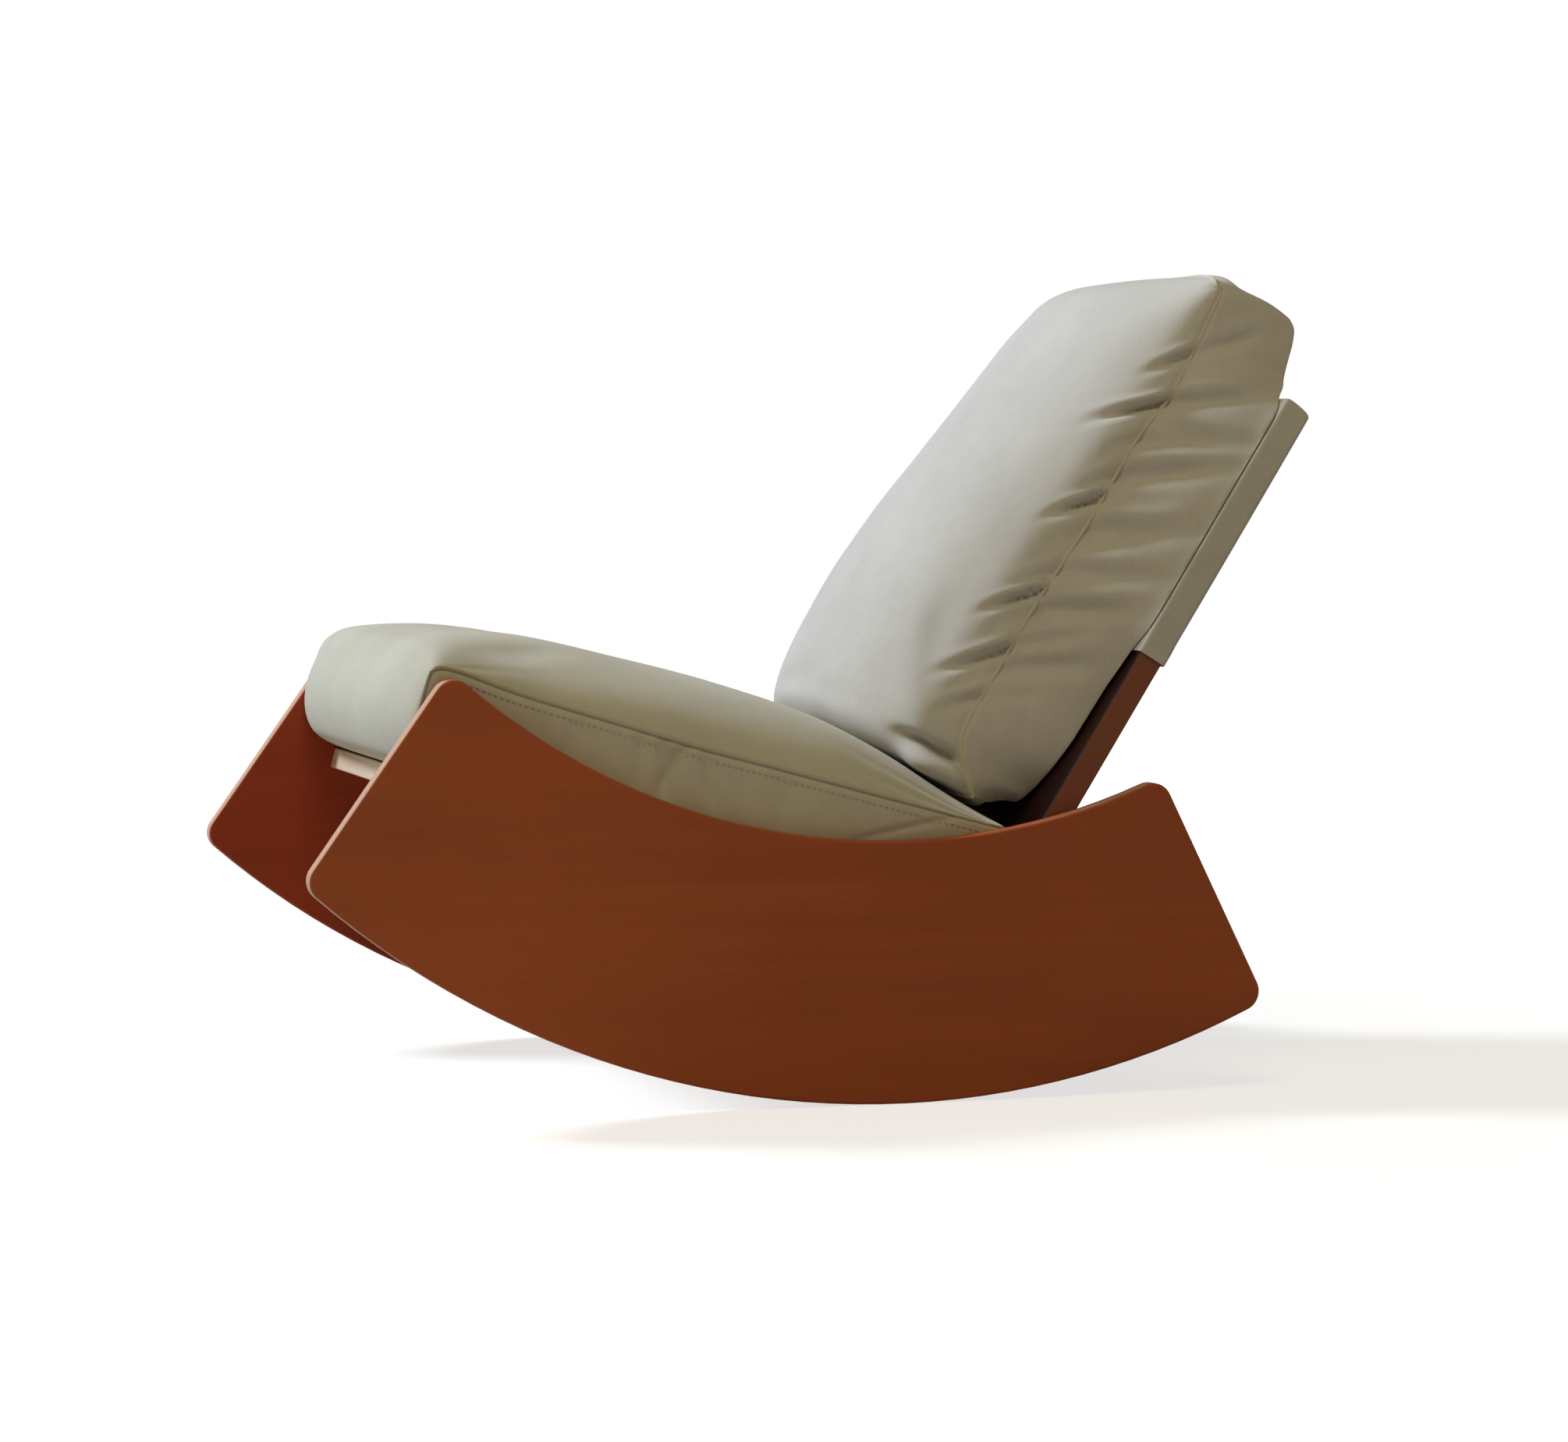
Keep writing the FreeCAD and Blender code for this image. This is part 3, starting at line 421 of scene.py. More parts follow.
def smooth_curve(points, shares):
    """Points at shares of the length of a smooth curve through points."""
    points = np.array(points, float)
    ends = np.vstack([2 * points[0] - points[1], points, 2 * points[-1] - points[-2]])
    step = np.linspace(0, 1, 24, endpoint=False)[:, None]
    spans = []
    for before, start, end, after in zip(ends, ends[1:], ends[2:], ends[3:]):
        spans.append(0.5 * (2 * start + (end - before) * step
                            + (2 * before - 5 * start + 4 * end - after) * step**2
                            + (3 * start - before - 3 * end + after) * step**3))
    dense = np.vstack(spans + [points[-1:]])
    run = np.concatenate([[0], np.cumsum(np.linalg.norm(np.diff(dense, axis=0), axis=1))])
    return np.column_stack([np.interp(shares * run[-1], run, column) for column in dense.T])


def crowd_to_ends(shares, power=1.5):
    """Even shares from 0 to 1, moved closer together at both ends."""
    signed = 2 * shares - 1
    return 0.5 + 0.5 * np.sign(signed) * (1 - (1 - np.abs(signed)) ** power)


def bell(values, centre, width):
    """A bump of height 1 round a centre."""
    return np.exp(-(((values - centre) / width) ** 2))


def fade(values, start, end):
    """A smooth rise from 0 at start to 1 at end."""
    share = np.clip((values - start) / (end - start), 0, 1)
    return share * share * (3 - 2 * share)


def new_piece(name, points, quads, material):
    """A mesh object in the chair's frame."""
    mesh = bpy.data.meshes.new(name)
    mesh.from_pydata(np.asarray(points).tolist(), [], quads)
    mesh.validate()
    mesh.materials.append(material)
    piece = bpy.data.objects.new(name, mesh)
    bpy.context.scene.collection.objects.link(piece)
    return piece


def read_rows(items, kind):
    """One vector of each of a mesh's items, as rows."""
    flat = np.zeros(len(items) * 3, np.float32)
    items.foreach_get(kind, flat)
    return flat.reshape(-1, 3).astype(float)


def read_points(mesh):
    """A mesh's points as rows."""
    return read_rows(mesh.vertices, "co")


def read_normals(mesh):
    """A mesh's point normals as rows."""
    return read_rows(mesh.vertices, "normal")


def write_points(mesh, points):
    """Move a mesh's points."""
    mesh.vertices.foreach_set("co", np.asarray(points, np.float32).ravel())
    mesh.update()


def swell(piece, held, cap):
    """Fill a cushion with air: its free cloth swells evenly, and no point goes further than a cap."""
    start = read_points(piece.data)
    group = piece.vertex_groups.new(name="held")
    for weight in np.unique(held):
        if weight > 0:
            group.add(np.flatnonzero(held == weight).tolist(), float(weight), "REPLACE")
    cloth = piece.modifiers.new("air", "CLOTH")
    settings = cloth.settings
    settings.quality = 6
    settings.mass = 0.25
    settings.tension_stiffness = 20
    settings.compression_stiffness = 12
    settings.shear_stiffness = 8
    settings.bending_stiffness = 1.5
    settings.use_pressure = True
    settings.uniform_pressure_force = AIR_PRESSURE
    settings.vertex_group_mass = "held"
    settings.effector_weights.gravity = 0
    cloth.point_cache.frame_start = 1
    cloth.point_cache.frame_end = AIR_FRAMES
    scene = bpy.context.scene
    for number in range(1, AIR_FRAMES + 1):
        scene.frame_set(number)
    shown = piece.evaluated_get(bpy.context.evaluated_depsgraph_get())
    moved = read_points(shown.data) - start
    piece.modifiers.remove(cloth)
    piece.vertex_groups.remove(group)
    scene.frame_set(1)
    ends = np.zeros(len(piece.data.edges) * 2, np.int32)
    piece.data.edges.foreach_get("vertices", ends)
    first, second = ends.reshape(-1, 2).T
    neighbours = np.bincount(ends, minlength=len(moved))[:, None]
    for _ in range(AIR_SMOOTHING):
        around = np.zeros_like(moved)
        np.add.at(around, first, moved[second])
        np.add.at(around, second, moved[first])
        moved = (0.5 * moved + 0.5 * around / neighbours) * (1 - held[:, None])
    far = np.maximum(np.linalg.norm(moved, axis=1, keepdims=True), 1e-9)
    write_points(piece.data, start + moved / far * cap * np.tanh(far / cap))


def rest_on(piece, other, upward, gap):
    """Push a piece's points up off another piece, so that it lies on it with a small gap."""
    tree = BVHTree.FromObject(other, bpy.context.evaluated_depsgraph_get())
    points = read_points(piece.data)
    reach = 0.12
    for number, point in enumerate(points):
        hit = tree.ray_cast(Vector(point) + upward * reach, -upward, reach + gap)[0]
        if hit:
            points[number] = hit + upward * gap
    write_points(piece.data, points)


def refine(piece, places):
    """Subdivide a piece once. Its lattice places are carried along and given back for every point."""
    carried = piece.data.attributes.new("place", "FLOAT_VECTOR", "POINT")
    carried.data.foreach_set("vector", np.asarray(places, np.float32).ravel())
    finer = piece.modifiers.new("finer", "SUBSURF")
    finer.levels = 1
    finer.render_levels = 1
    shown = piece.evaluated_get(bpy.context.evaluated_depsgraph_get())
    mesh = bpy.data.meshes.new_from_object(shown)
    piece.modifiers.remove(finer)
    old = piece.data
    piece.data = mesh
    bpy.data.meshes.remove(old)
    found = read_rows(mesh.attributes["place"].data, "vector")
    mesh.attributes.remove(mesh.attributes["place"])
    mesh.shade_smooth()
    return found


def cord_along(name, points, radius, material, closed=False):
    """A round cord through points."""
    curve = bpy.data.curves.new(name, "CURVE")
    curve.dimensions = "3D"
    curve.bevel_depth = radius
    curve.bevel_resolution = 2
    spline = curve.splines.new("POLY")
    spline.points.add(len(points) - 1)
    rows = np.column_stack([points, np.ones(len(points))])
    spline.points.foreach_set("co", rows.astype(np.float32).ravel())
    spline.use_cyclic_u = closed
    made = bpy.data.objects.new(name, curve)
    bpy.context.scene.collection.objects.link(made)
    mesh = bpy.data.meshes.new_from_object(made.evaluated_get(bpy.context.evaluated_depsgraph_get()))
    bpy.data.objects.remove(made)
    bpy.data.curves.remove(curve)
    mesh.name = name
    mesh.materials.clear()
    mesh.materials.append(material)
    mesh.shade_smooth()
    piece = bpy.data.objects.new(name, mesh)
    bpy.context.scene.collection.objects.link(piece)
    return piece


def stitch_row(points, normals, stitch, gap, radius):
    """Spindle-shaped stitches along a line on the cloth, as points and quads."""
    run = np.concatenate([[0], np.cumsum(np.linalg.norm(np.diff(points, axis=0), axis=1))])
    made, quads = [], []

    def on_run(rows, at):
        """The rows' value at a distance along the line."""
        return np.array([np.interp(at, run, column) for column in rows.T])

    rings = ((0.0, 0.25, -0.6), (0.18, 0.9, 0.35), (0.5, 1.0, 0.75), (0.82, 0.9, 0.35), (1.0, 0.25, -0.6))
    sides = 6
    for begin in np.arange(gap, run[-1] - stitch - gap, stitch + gap):
        first = len(made)
        for share, girth, lift in rings:
            at = begin + share * stitch
            spot, up = on_run(points, at), on_run(normals, at)
            up /= np.linalg.norm(up)
            side = np.cross(on_run(points, at + 1e-3) - on_run(points, at - 1e-3), up)
            side /= np.linalg.norm(side)
            for turn in range(sides):
                angle = 2 * math.pi * turn / sides
                round_it = math.cos(angle) * side + math.sin(angle) * up
                made.append(spot + radius * (lift * up + girth * round_it))
        for ring in range(len(rings) - 1):
            for turn in range(sides):
                low, next_low = first + ring * sides + turn, first + ring * sides + (turn + 1) % sides
                quads.append([low, next_low, next_low + sides, low + sides])
        quads.append([first + turn for turn in range(sides)][::-1])
        quads.append([first + (len(rings) - 1) * sides + turn for turn in range(sides)])
    return made, quads


def sew(name, rows, material):
    """Rows of stitches as one piece. A row is (points, normals, stitch, gap, radius)."""
    points, quads = [], []
    for row in rows:
        made, faces = stitch_row(*row)
        quads += [[corner + len(points) for corner in face] for face in faces]
        points += made
    piece = new_piece(name, points, quads, material)
    piece.data.shade_smooth()
    return piece


# The seat cushion's outline from the front's foot over the top to the rear, at its sides and in its middle, as
# (along, share of the seam's or the crown's height)
SEAT_FRONT_SIDE = ((-0.490, 0), (-0.516, 0.035), (-0.538, 0.10), (-0.552, 0.27), (-0.558, 0.52),
                   (-0.558, 0.82), (-0.557, 1.02))
SEAT_FRONT_MIDDLE = ((-0.500, 0), (-0.526, 0.025), (-0.549, 0.07), (-0.564, 0.19), (-0.572, 0.36),
                     (-0.571, 0.56), (-0.563, 0.74))
SEAT_TOP_SIDE = ((-0.557, 1.02), (-0.552, 1.08), (-0.541, 1.10), (-0.521, 1.095), (-0.488, 1.052),
                 (-0.450, 1.02), (-0.360, 0.98), (-0.275, 0.945), (-0.187, 0.936), (-0.134, 0.93),
                 (-0.090, 0.926), (-0.050, 0.923), (-0.010, 0.923), (0.025, 0.923), (0.047, 0.923))
SEAT_TOP_MIDDLE = ((-0.563, 0.74), (-0.552, 0.825), (-0.532, 0.880), (-0.500, 0.920), (-0.465, 0.956),
                   (-0.428, 0.983), (-0.360, 1), (-0.275, 1.010), (-0.187, 1), (-0.134, 0.98),
                   (-0.090, 0.925), (-0.050, 0.855), (-0.010, 0.755), (0.025, 0.665), (0.047, 0.607))
# Creases on the seat's boxing as (depth, centre, width, lean), by share of the way to the rear
SEAT_CREASES = ((0.0036, 0.40, 0.014, 0.06), (0.0042, 0.44, 0.012, -0.05), (0.0032, 0.475, 0.012, 0.07),
                (0.0012, 0.62, 0.020, 0.03), (0.0014, 0.27, 0.020, -0.05), (0.0024, 0.365, 0.012, 0.03),
                (0.0025, 0.916, 0.012, -0.33))
# Folds that fan out of the seat's corners as (corner along, reach, folds), each fold as (angle, width, depth)
SEAT_FANS = ((-0.548, 0.17, ((0.30, 0.10, 0.0006),)),
             (0.050, -0.22, ((0.10, 0.04, 0.0018), (0.26, 0.05, 0.0016))))


def seat_cushion_points(sizes, places):
    """The seat cushion's points in the seat's frame for lattice places from 0 to 1: across, along and up."""
    across = 2 * crowd_to_ends(places[:, 0]) - 1
    rows = np.unique(places[:, 1])
    levels = np.unique(places[:, 2])
    seam, top = sizes.seam - sizes.foot, sizes.seam + sizes.crown - sizes.foot

    def share(row):
        """How far a point across has risen from the side's curve to the middle's, fuller in front."""
        fullness = 9 - 5 * fade(row, 0, 0.22)
        return (1 - np.abs(across) ** fullness)[:, None] ** 0.62

    def curve(side, middle, spots, wanted, row):
        """Points between the side's curve and the middle's, at the wanted ones of all the spots."""
        index = np.searchsorted(spots, wanted)
        low = smooth_curve(np.array(side) * (1, seam), spots)[index]
        high = smooth_curve(np.array(middle) * (1, top), spots)[index]
        return low + (high - low) * share(row)

    first, last = np.zeros(len(places)), np.ones(len(places))
    behind, above = places[:, 1:2], places[:, 2:3]
    ahead, below = 1 - behind, 1 - above
    front = curve(SEAT_FRONT_SIDE, SEAT_FRONT_MIDDLE, levels, places[:, 2], first)
    foot = curve(SEAT_FRONT_SIDE, SEAT_FRONT_MIDDLE, levels, first, first)
    brow = curve(SEAT_FRONT_SIDE, SEAT_FRONT_MIDDLE, levels, last, first)
    crown = curve(SEAT_TOP_SIDE, SEAT_TOP_MIDDLE, rows, places[:, 1], places[:, 1])
    tail = curve(SEAT_TOP_SIDE, SEAT_TOP_MIDDLE, rows, last, last)
    heel = np.column_stack([tail[:, 0] - HEEL_SET_BACK, 0 * tail[:, 0]])
    rear = heel + (tail - heel) * above
    under = foot + (heel - foot) * behind
    corners = (foot * ahead + heel * behind) * below + (brow * ahead + tail * behind) * above
    plane = front * ahead + rear * behind + under * below + crown * above - corners
    return across * sizes.half_width, plane[:, 0], plane[:, 1] + sizes.foot


# The back cushion's curves. By the way up the back: how far out the middle of the front and the front seam are,
# half the rear's width and how far out the rear is. The top edge's drop goes by the share across, and the
# foot's height by the share from rear to front.
BACK_FRONT = ((0.303, 0.068), (0.3035, 0.125), (0.305, 0.172), (0.308, 0.203), (0.314, 0.218),
              (0.322, 0.2240), (0.335, 0.2260), (0.350, 0.2268), (0.369, 0.2272), (0.400, 0.2276),
              (0.463, 0.2280), (0.510, 0.2255), (0.565, 0.2215), (0.610, 0.2150), (0.657, 0.2075),
              (0.707, 0.1990), (0.760, 0.1925), (0.795, 0.1880), (0.829, 0.1815), (0.845, 0.1765),
              (0.858, 0.1685), (0.870, 0.1580), (0.879, 0.1470), (0.886, 0.1355), (0.890, 0.1270),
              (0.893, 0.1190))
BACK_TOP = ((-1, -0.009), (-0.8, -0.008), (-0.5, -0.006), (0, -0.004), (0.3, -0.003), (0.6, -0.002),
            (0.8, -0.005), (0.9, -0.008), (1, -0.012))
BACK_REAR_HALF = ((0.322, 0.232), (0.342, 0.236), (0.372, 0.256), (0.402, 0.267), (0.467, 0.272),
                  (0.512, 0.283), (0.535, 0.296), (0.560, 0.2985), (0.785, 0.2985), (0.797, 0.295),
                  (0.806, 0.285), (0.816, 0.269), (0.835, 0.252), (0.893, 0.246))
BACK_REAR_OUT = ((0.322, 0.024), (0.345, 0.0176), (0.808, 0.0176), (0.825, 0.012), (0.837, 0.0145),
                 (0.850, 0.018), (0.871, 0.023), (0.884, 0.028), (0.893, 0.037))
BACK_FOOT = ((0, 0.325), (0.20, 0.314), (0.45, 0.305), (0.70, 0.301), (1, 0.303))
BACK_SEAM = ((0.303, 0.068), (0.311, 0.078), (0.322, 0.090), (0.333, 0.101), (0.347, 0.111),
             (0.366, 0.1145), (0.396, 0.115), (0.426, 0.114), (0.490, 0.115), (0.556, 0.113),
             (0.608, 0.111), (0.705, 0.112), (0.757, 0.105), (0.828, 0.110), (0.893, 0.119))
# Folds across the back's front seam as (centre, width, depth on the boxing, depth on the front panel, run
# on the front panel, slope on the boxing), by the way up the back. The depths are shares of the puckers'.
BACK_FOLDS = ((0.806, 0.007, 0.4, 0.7, 0.040, 0.95), (0.751, 0.007, 1.0, 1.2, 0.055, 0.70),
              (0.724, 0.006, 0.5, 0, 0.02, 0.35), (0.703, 0.008, 0.9, 0.4, 0.025, 0.55),
              (0.658, 0.009, 1.1, 0.5, 0.030, 0.72), (0.634, 0.007, 0.4, 1.2, 0.045, 0.40),
              (0.594, 0.010, 1.1, 0.3, 0.030, 0.60), (0.572, 0.006, 0.5, 0, 0.02, 0.85),
              (0.545, 0.008, 0.8, 0.5, 0.035, 0.50), (0.522, 0.007, 0.3, 1.2, 0.050, 0.80),
              (0.498, 0.010, 1.1, 0.4, 0.030, 0.58), (0.453, 0.008, 0.5, 1.1, 0.055, 0.90),
              (0.430, 0.009, 0.8, 0.3, 0.030, 0.62), (0.397, 0.008, 0.2, 0.7, 0.040, 0.62))
PANEL_SLOPE = 1.15


def rounded_corner(inset, drop):
    """Shares of a corner's square, moved so that the square's outer sides become a quarter round."""
    inset, drop = np.clip(inset, 0, 1), np.clip(drop, 0, 1)
    pull = np.maximum(inset, drop) / np.maximum(np.hypot(inset, drop), 1e-9)
    pull = np.where((inset > 0) & (drop > 0), pull, 1.0)
    return inset * pull, drop * pull


def read_curve(curve, along):
    """The height of a smooth curve at places along it."""
    dense = smooth_curve(curve, np.linspace(0, 1, 600))
    return np.interp(along, np.maximum.accumulate(dense[:, 0]), dense[:, 1])


def back_cushion_points(sizes, places):
    """The back cushion's points in the back's frame for lattice places from 0 to 1: across, along and out."""
    across = 2 * crowd_to_ends(places[:, 0]) - 1
    along = crowd_to_ends(places[:, 1])
    through = places[:, 2]
    near = np.sin(math.pi * through)
    low = np.interp(through, *np.array(BACK_FOOT).T)
    hump = 0.001 + 0.011 * fade(across, 0.1, 0.45)
    high = sizes.high + read_curve(BACK_TOP, across) * through**2 + 0.003 * near
    high = high + hump * np.sin(math.pi * through**5) * (1 - np.abs(across) ** 9)
    p = low + (high - low) * along
    between = 1 - (2 * along - 1) ** 4
    half_front = sizes.half_width - 0.005 * between
    half_rear = np.interp(p, *np.array(BACK_REAR_HALF).T)
    half = half_rear + (half_front - half_rear) * through**0.8 + 0.003 * near * between
    x = across * half
    arch, shoulder = 1 - np.abs(across) ** 2.4, (1 - np.abs(across) ** 30) ** 0.5
    dome = 0.64 * arch + 0.36 * shoulder
    rear = np.interp(p, *np.array(BACK_REAR_OUT).T)
    seam = read_curve(BACK_SEAM, p)
    front = seam + (read_curve(BACK_FRONT, p) - seam) * dome
    for wide, tall, edge, way in ((0.008 + 0.034 * near**0.7, 0.008 + 0.016 * near**0.7, low, 1),
                                  (0.006 + 0.010 * through**3, 0.006 + 0.008 * through**3, high, -1)):
        inset, drop = rounded_corner((np.abs(x) - half + wide) / wide, 1 - way * (p - edge) / tall)
        x = np.where((inset > 0) & (drop > 0), np.sign(x) * (half - wide + wide * inset), x)
        p = np.where((inset > 0) & (drop > 0), edge + way * tall * (1 - drop), p)
    return x, p, rear + (front - rear) * through


def line_of(numbers, spans, fixed, free):
    """The point numbers along one edge of a box lattice. fixed gives an end, 0 or 1, of the other two axes."""
    found = []
    for step in range(spans[free] + 1):
        point = [0, 0, 0]
        point[free] = step
        for axis, end in fixed.items():
            point[axis] = end * spans[axis]
        found.append(numbers[tuple(point)])
    return found


class CHAIR_OT_boards(bpy.types.Operator):
    """Finish the rocker boards, stiles, rails and slats"""

    bl_idname = "chair.boards"
    bl_label = "Boards"

    def execute(self, context):
        colours = context.scene.chair.colours
        dress(PANELS, stained_wood("stained_panel", colours, PLAIN_TINT, 0.0, grain_along(1), ply_edge_and_lit_front=True))
        for names, kind, axis in ((STILES, "stained_stile", 2), (BACK_BOARDS, "stained_rail", 0)):
            dress(names, stained_wood(kind, colours, DEEP_TINT, BACK_LEAN, grain_along(axis), painted_front_shade=True))
        dress(SEAT_BOARDS, pale_board("pale_board", colours, SEAT_TILT))
        return {"FINISHED"}


class CHAIR_OT_fasteners(bpy.types.Operator):
    """Finish the screws, bolts and inserts"""

    bl_idname = "chair.fasteners"
    bl_label = "Fasteners"

    def execute(self, context):
        dress(FASTENERS, plated_steel("plated_steel", context.scene.chair.colours))
        return {"FINISHED"}


class CHAIR_OT_seat_cushion(bpy.types.Operator):
    """Make the seat cushion with its side seams"""

    bl_idname = "chair.seat_cushion"
    bl_label = "Seat cushion"

    def execute(self, context):
        settings = context.scene.chair
        sizes = settings.seat
        spans = SEAT_SPANS
        numbers, quads = box_lattice(spans)
        places = np.array(list(numbers), float) / spans
        points = seat_points(*seat_cushion_points(sizes, places))
        cloth = canvas("seat_canvas_warm_lit", tuple(settings.colours.seat_canvas_warm_lit), SEAT_TILT)
        cushion = new_piece("seat_cushion_canvas", points, quads, cloth)
        on_side = (places[:, 0] < EDGE) | (places[:, 0] > 1 - EDGE)
        held = np.where(on_side | (places[:, 2] < EDGE) | (places[:, 1] > 1 - EDGE), 1.0, 0.0)
        swell(cushion, held, sizes.swell)
        finer = refine(cushion, places)
        self.wrinkle(cushion.data, finer)
        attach(cushion, "seat_cushion")
        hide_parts("seat_cushion_cover", "seat_cushion_core")
        self.seams(cushion, numbers, spans, settings)
        return {"FINISHED"}

    def wrinkle(self, mesh, places):
        """Sag and small creases of the cloth."""
        points, normals = read_points(mesh), read_normals(mesh)
        y = points[:, 1] - CONTACT_Y
        along = y * math.cos(SEAT_TILT) - points[:, 2] * math.sin(SEAT_TILT)
        across = np.abs(points[:, 0])
        rows, height = places[:, 1], places[:, 2]
        top = fade(height, 0.85, 1.0)
        dents = 0.0010 * np.sin(21 * along + 9 * points[:, 0]) * np.sin(17 * points[:, 0] - 6 * along) * top
        for corner, reach, spread in SEAT_FANS:
            ahead = (along - corner) * np.sign(reach)
            inward = FAN_SIDE - across
            angle = np.arctan2(inward, ahead)
            far = np.hypot(inward, ahead)
            fan = sum(depth * bell(angle, turn, width) for turn, width, depth in spread)
            ends = fade(far, 0.006, 0.03) * (1 - fade(far, 0.4 * abs(reach), abs(reach)))
            dents = dents - fan * top * ends
        side = np.abs(2 * places[:, 0] - 1) > ON_SIDE
        creases = sum(depth * bell(rows + lean * (height - 1), centre, width)
                      for depth, centre, width, lean in SEAT_CREASES)
        dents = dents - creases * side * fade(height, 0.40, 0.7) * (1 - fade(height, 0.95, 1.0))
        dents = dents - SEAT_SEAM_DEPTH * (side & (height > ON_SIDE)) * fade(rows, 0.0, 0.03)
        write_points(mesh, points + normals * dents[:, None])

    def seams(self, cushion, numbers, spans, settings):
        """Welts and stitches along the side seams."""
        points = read_points(cushion.data)
        thread = canvas("seat_thread", tuple(settings.colours.seat_thread), SEAT_TILT)
        rows = []
        for name, side in (("left", 1), ("right", 0)):
            rise = line_of(numbers, spans, {0: side, 1: 0}, 2)
            top = line_of(numbers, spans, {0: side, 2: 1}, 1)
            path = rise + top[1:]
            welt = cord_along(f"seat_cushion_{name}_welt", points[path], settings.seat.welt, thread)
            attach(welt, "seat_cushion")
            way = 2 * side - 1
            down = -STITCH_DROP * np.array((0, math.sin(SEAT_TILT), math.cos(SEAT_TILT)))
            line = points[top[STITCH_START:]] + down
            line[:, 0] = way * (settings.seat.half_width + 0.0003)
            outward = np.tile((float(way), 0.0, 0.0), (len(line), 1))
            rows.append((line, outward, STITCH_LENGTH, STITCH_GAP, STITCH_RADIUS))
        stitches = sew("seat_cushion_stitches", rows, cushion.active_material)
        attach(stitches, "seat_cushion")


class CHAIR_OT_back_cushion(bpy.types.Operator):
    """Make the back cushion with its puckered front seam"""

    bl_idname = "chair.back_cushion"
    bl_label = "Back cushion"

    def execute(self, context):
        settings = context.scene.chair
        sizes = settings.back
        spans = BACK_SPANS
        numbers, quads = box_lattice(spans)
        places = np.array(list(numbers), float) / spans
        points = back_points(*back_cushion_points(sizes, places))
        cloth = canvas("back_canvas", tuple(settings.colours.canvas), BACK_LEAN)
        cushion = new_piece("back_cushion_canvas", points, quads, cloth)
        rear = places[:, 2] < EDGE
        low = places[:, 1] < EDGE
        rim = (np.abs(places[:, 0] - 0.5) > 0.5 - EDGE) | (places[:, 1] > 1 - EDGE)
        held = np.where(rear | low | (places[:, 2] > 1 - EDGE) & rim, 1.0, 0.0)
        swell(cushion, held, sizes.swell)
        finer = refine(cushion, places)
        self.pucker(cushion.data, sizes, finer)
        seat = bpy.data.objects.get("seat_cushion_canvas")
        if seat is None:
            raise RuntimeError("The back cushion rests on the seat cushion, which is made first")
        rest_on(cushion, seat, Vector((0, math.sin(BACK_LEAN), math.cos(BACK_LEAN))), CUSHION_GAP)
        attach(cushion, "back_cushion")
        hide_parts("back_cushion_cover", "back_cushion_core")
        self.seams(cushion, numbers, spans, settings)
        return {"FINISHED"}

    def pucker(self, mesh, sizes, places):
        """Folds that cross the front seam, and soft dents of the cloth."""
        points, normals = read_points(mesh), read_normals(mesh)
        y = points[:, 1] - CONTACT_Y
        p = y * math.sin(BACK_LEAN) + points[:, 2] * math.cos(BACK_LEAN)
        q = points[:, 2] * math.sin(BACK_LEAN) - y * math.cos(BACK_LEAN)
        ahead = q - read_curve(BACK_SEAM, p)
        side = np.abs(2 * places[:, 0] - 1)
        boxing = (side > ON_SIDE) & (ahead <= 0)
        panel = (ahead > 0) * fade(side, 0.55, 0.8) * np.where(points[:, 0] > 0, 1.0, 0.35)
        ends = fade(places[:, 1], 0.10, 0.25) * (1 - fade(places[:, 1], 0.93, 0.99))
        held = (1 - 0.5 * bell(ahead, 0, 0.004)) * ends
        dents = -BACK_SEAM_DEPTH * ((side > ON_SIDE) & (places[:, 2] > ON_SIDE))
        widen, ridge = np.where(ahead > 0, 1.0, 1.35), np.where(ahead > 0, 0.4, 0.2)
        for centre, width, on_boxing, on_panel, run, slope in BACK_FOLDS:
            slant = p + np.where(ahead > 0, PANEL_SLOPE, slope) * ahead
            wide = width * widen
            crease = bell(slant, centre, wide) - ridge * bell(slant, centre + 1.8 * wide, wide)
            fading = 1 - 0.9 * fade(-ahead, 0.030, 0.040 + 0.06 * min(1, on_boxing))
            reach = boxing * on_boxing * fading
            reach = reach + 1.1 * panel * on_panel * (1 - fade(ahead, 0.2 * run, 1.1 * run))
            dents = dents - sizes.pucker * crease * reach * held
        slant = p + 0.12 * ahead
        tuck = bell(slant, 0.329, 0.006) - 0.4 * bell(slant, 0.316, 0.007)
        reach = fade(ahead, 0.004, 0.016) * (1 - fade(ahead, 0.055, 0.090))
        dents = dents - TUCK_DEPTH * tuck * panel * reach
        front = fade(places[:, 2], 0.9, 1.0) * (1 - fade(side, 0.7, 0.95))
        x = points[:, 0]
        dents = dents + 0.0010 * np.sin(19 * p + 7 * x) * np.sin(15 * x - 5 * p) * front
        write_points(mesh, points + normals * dents[:, None])

    def seams(self, cushion, numbers, spans, settings):
        """Welt round the front panel."""
        points = read_points(cushion.data)
        left = line_of(numbers, spans, {0: 1, 2: 1}, 1)
        right = line_of(numbers, spans, {0: 0, 2: 1}, 1)
        top = line_of(numbers, spans, {1: 1, 2: 1}, 0)
        low = line_of(numbers, spans, {1: 0, 2: 1}, 0)
        ring = left + top[::-1][1:] + right[::-1][1:] + low[1:-1]
        path = sum(np.roll(points[ring], shift, axis=0) for shift in (-1, 0, 1)) / 3
        thread = canvas("back_thread", tuple(settings.colours.thread), BACK_LEAN)
        welt = cord_along("back_cushion_welt", path, settings.back.welt, thread, closed=True)
        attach(welt, "back_cushion")


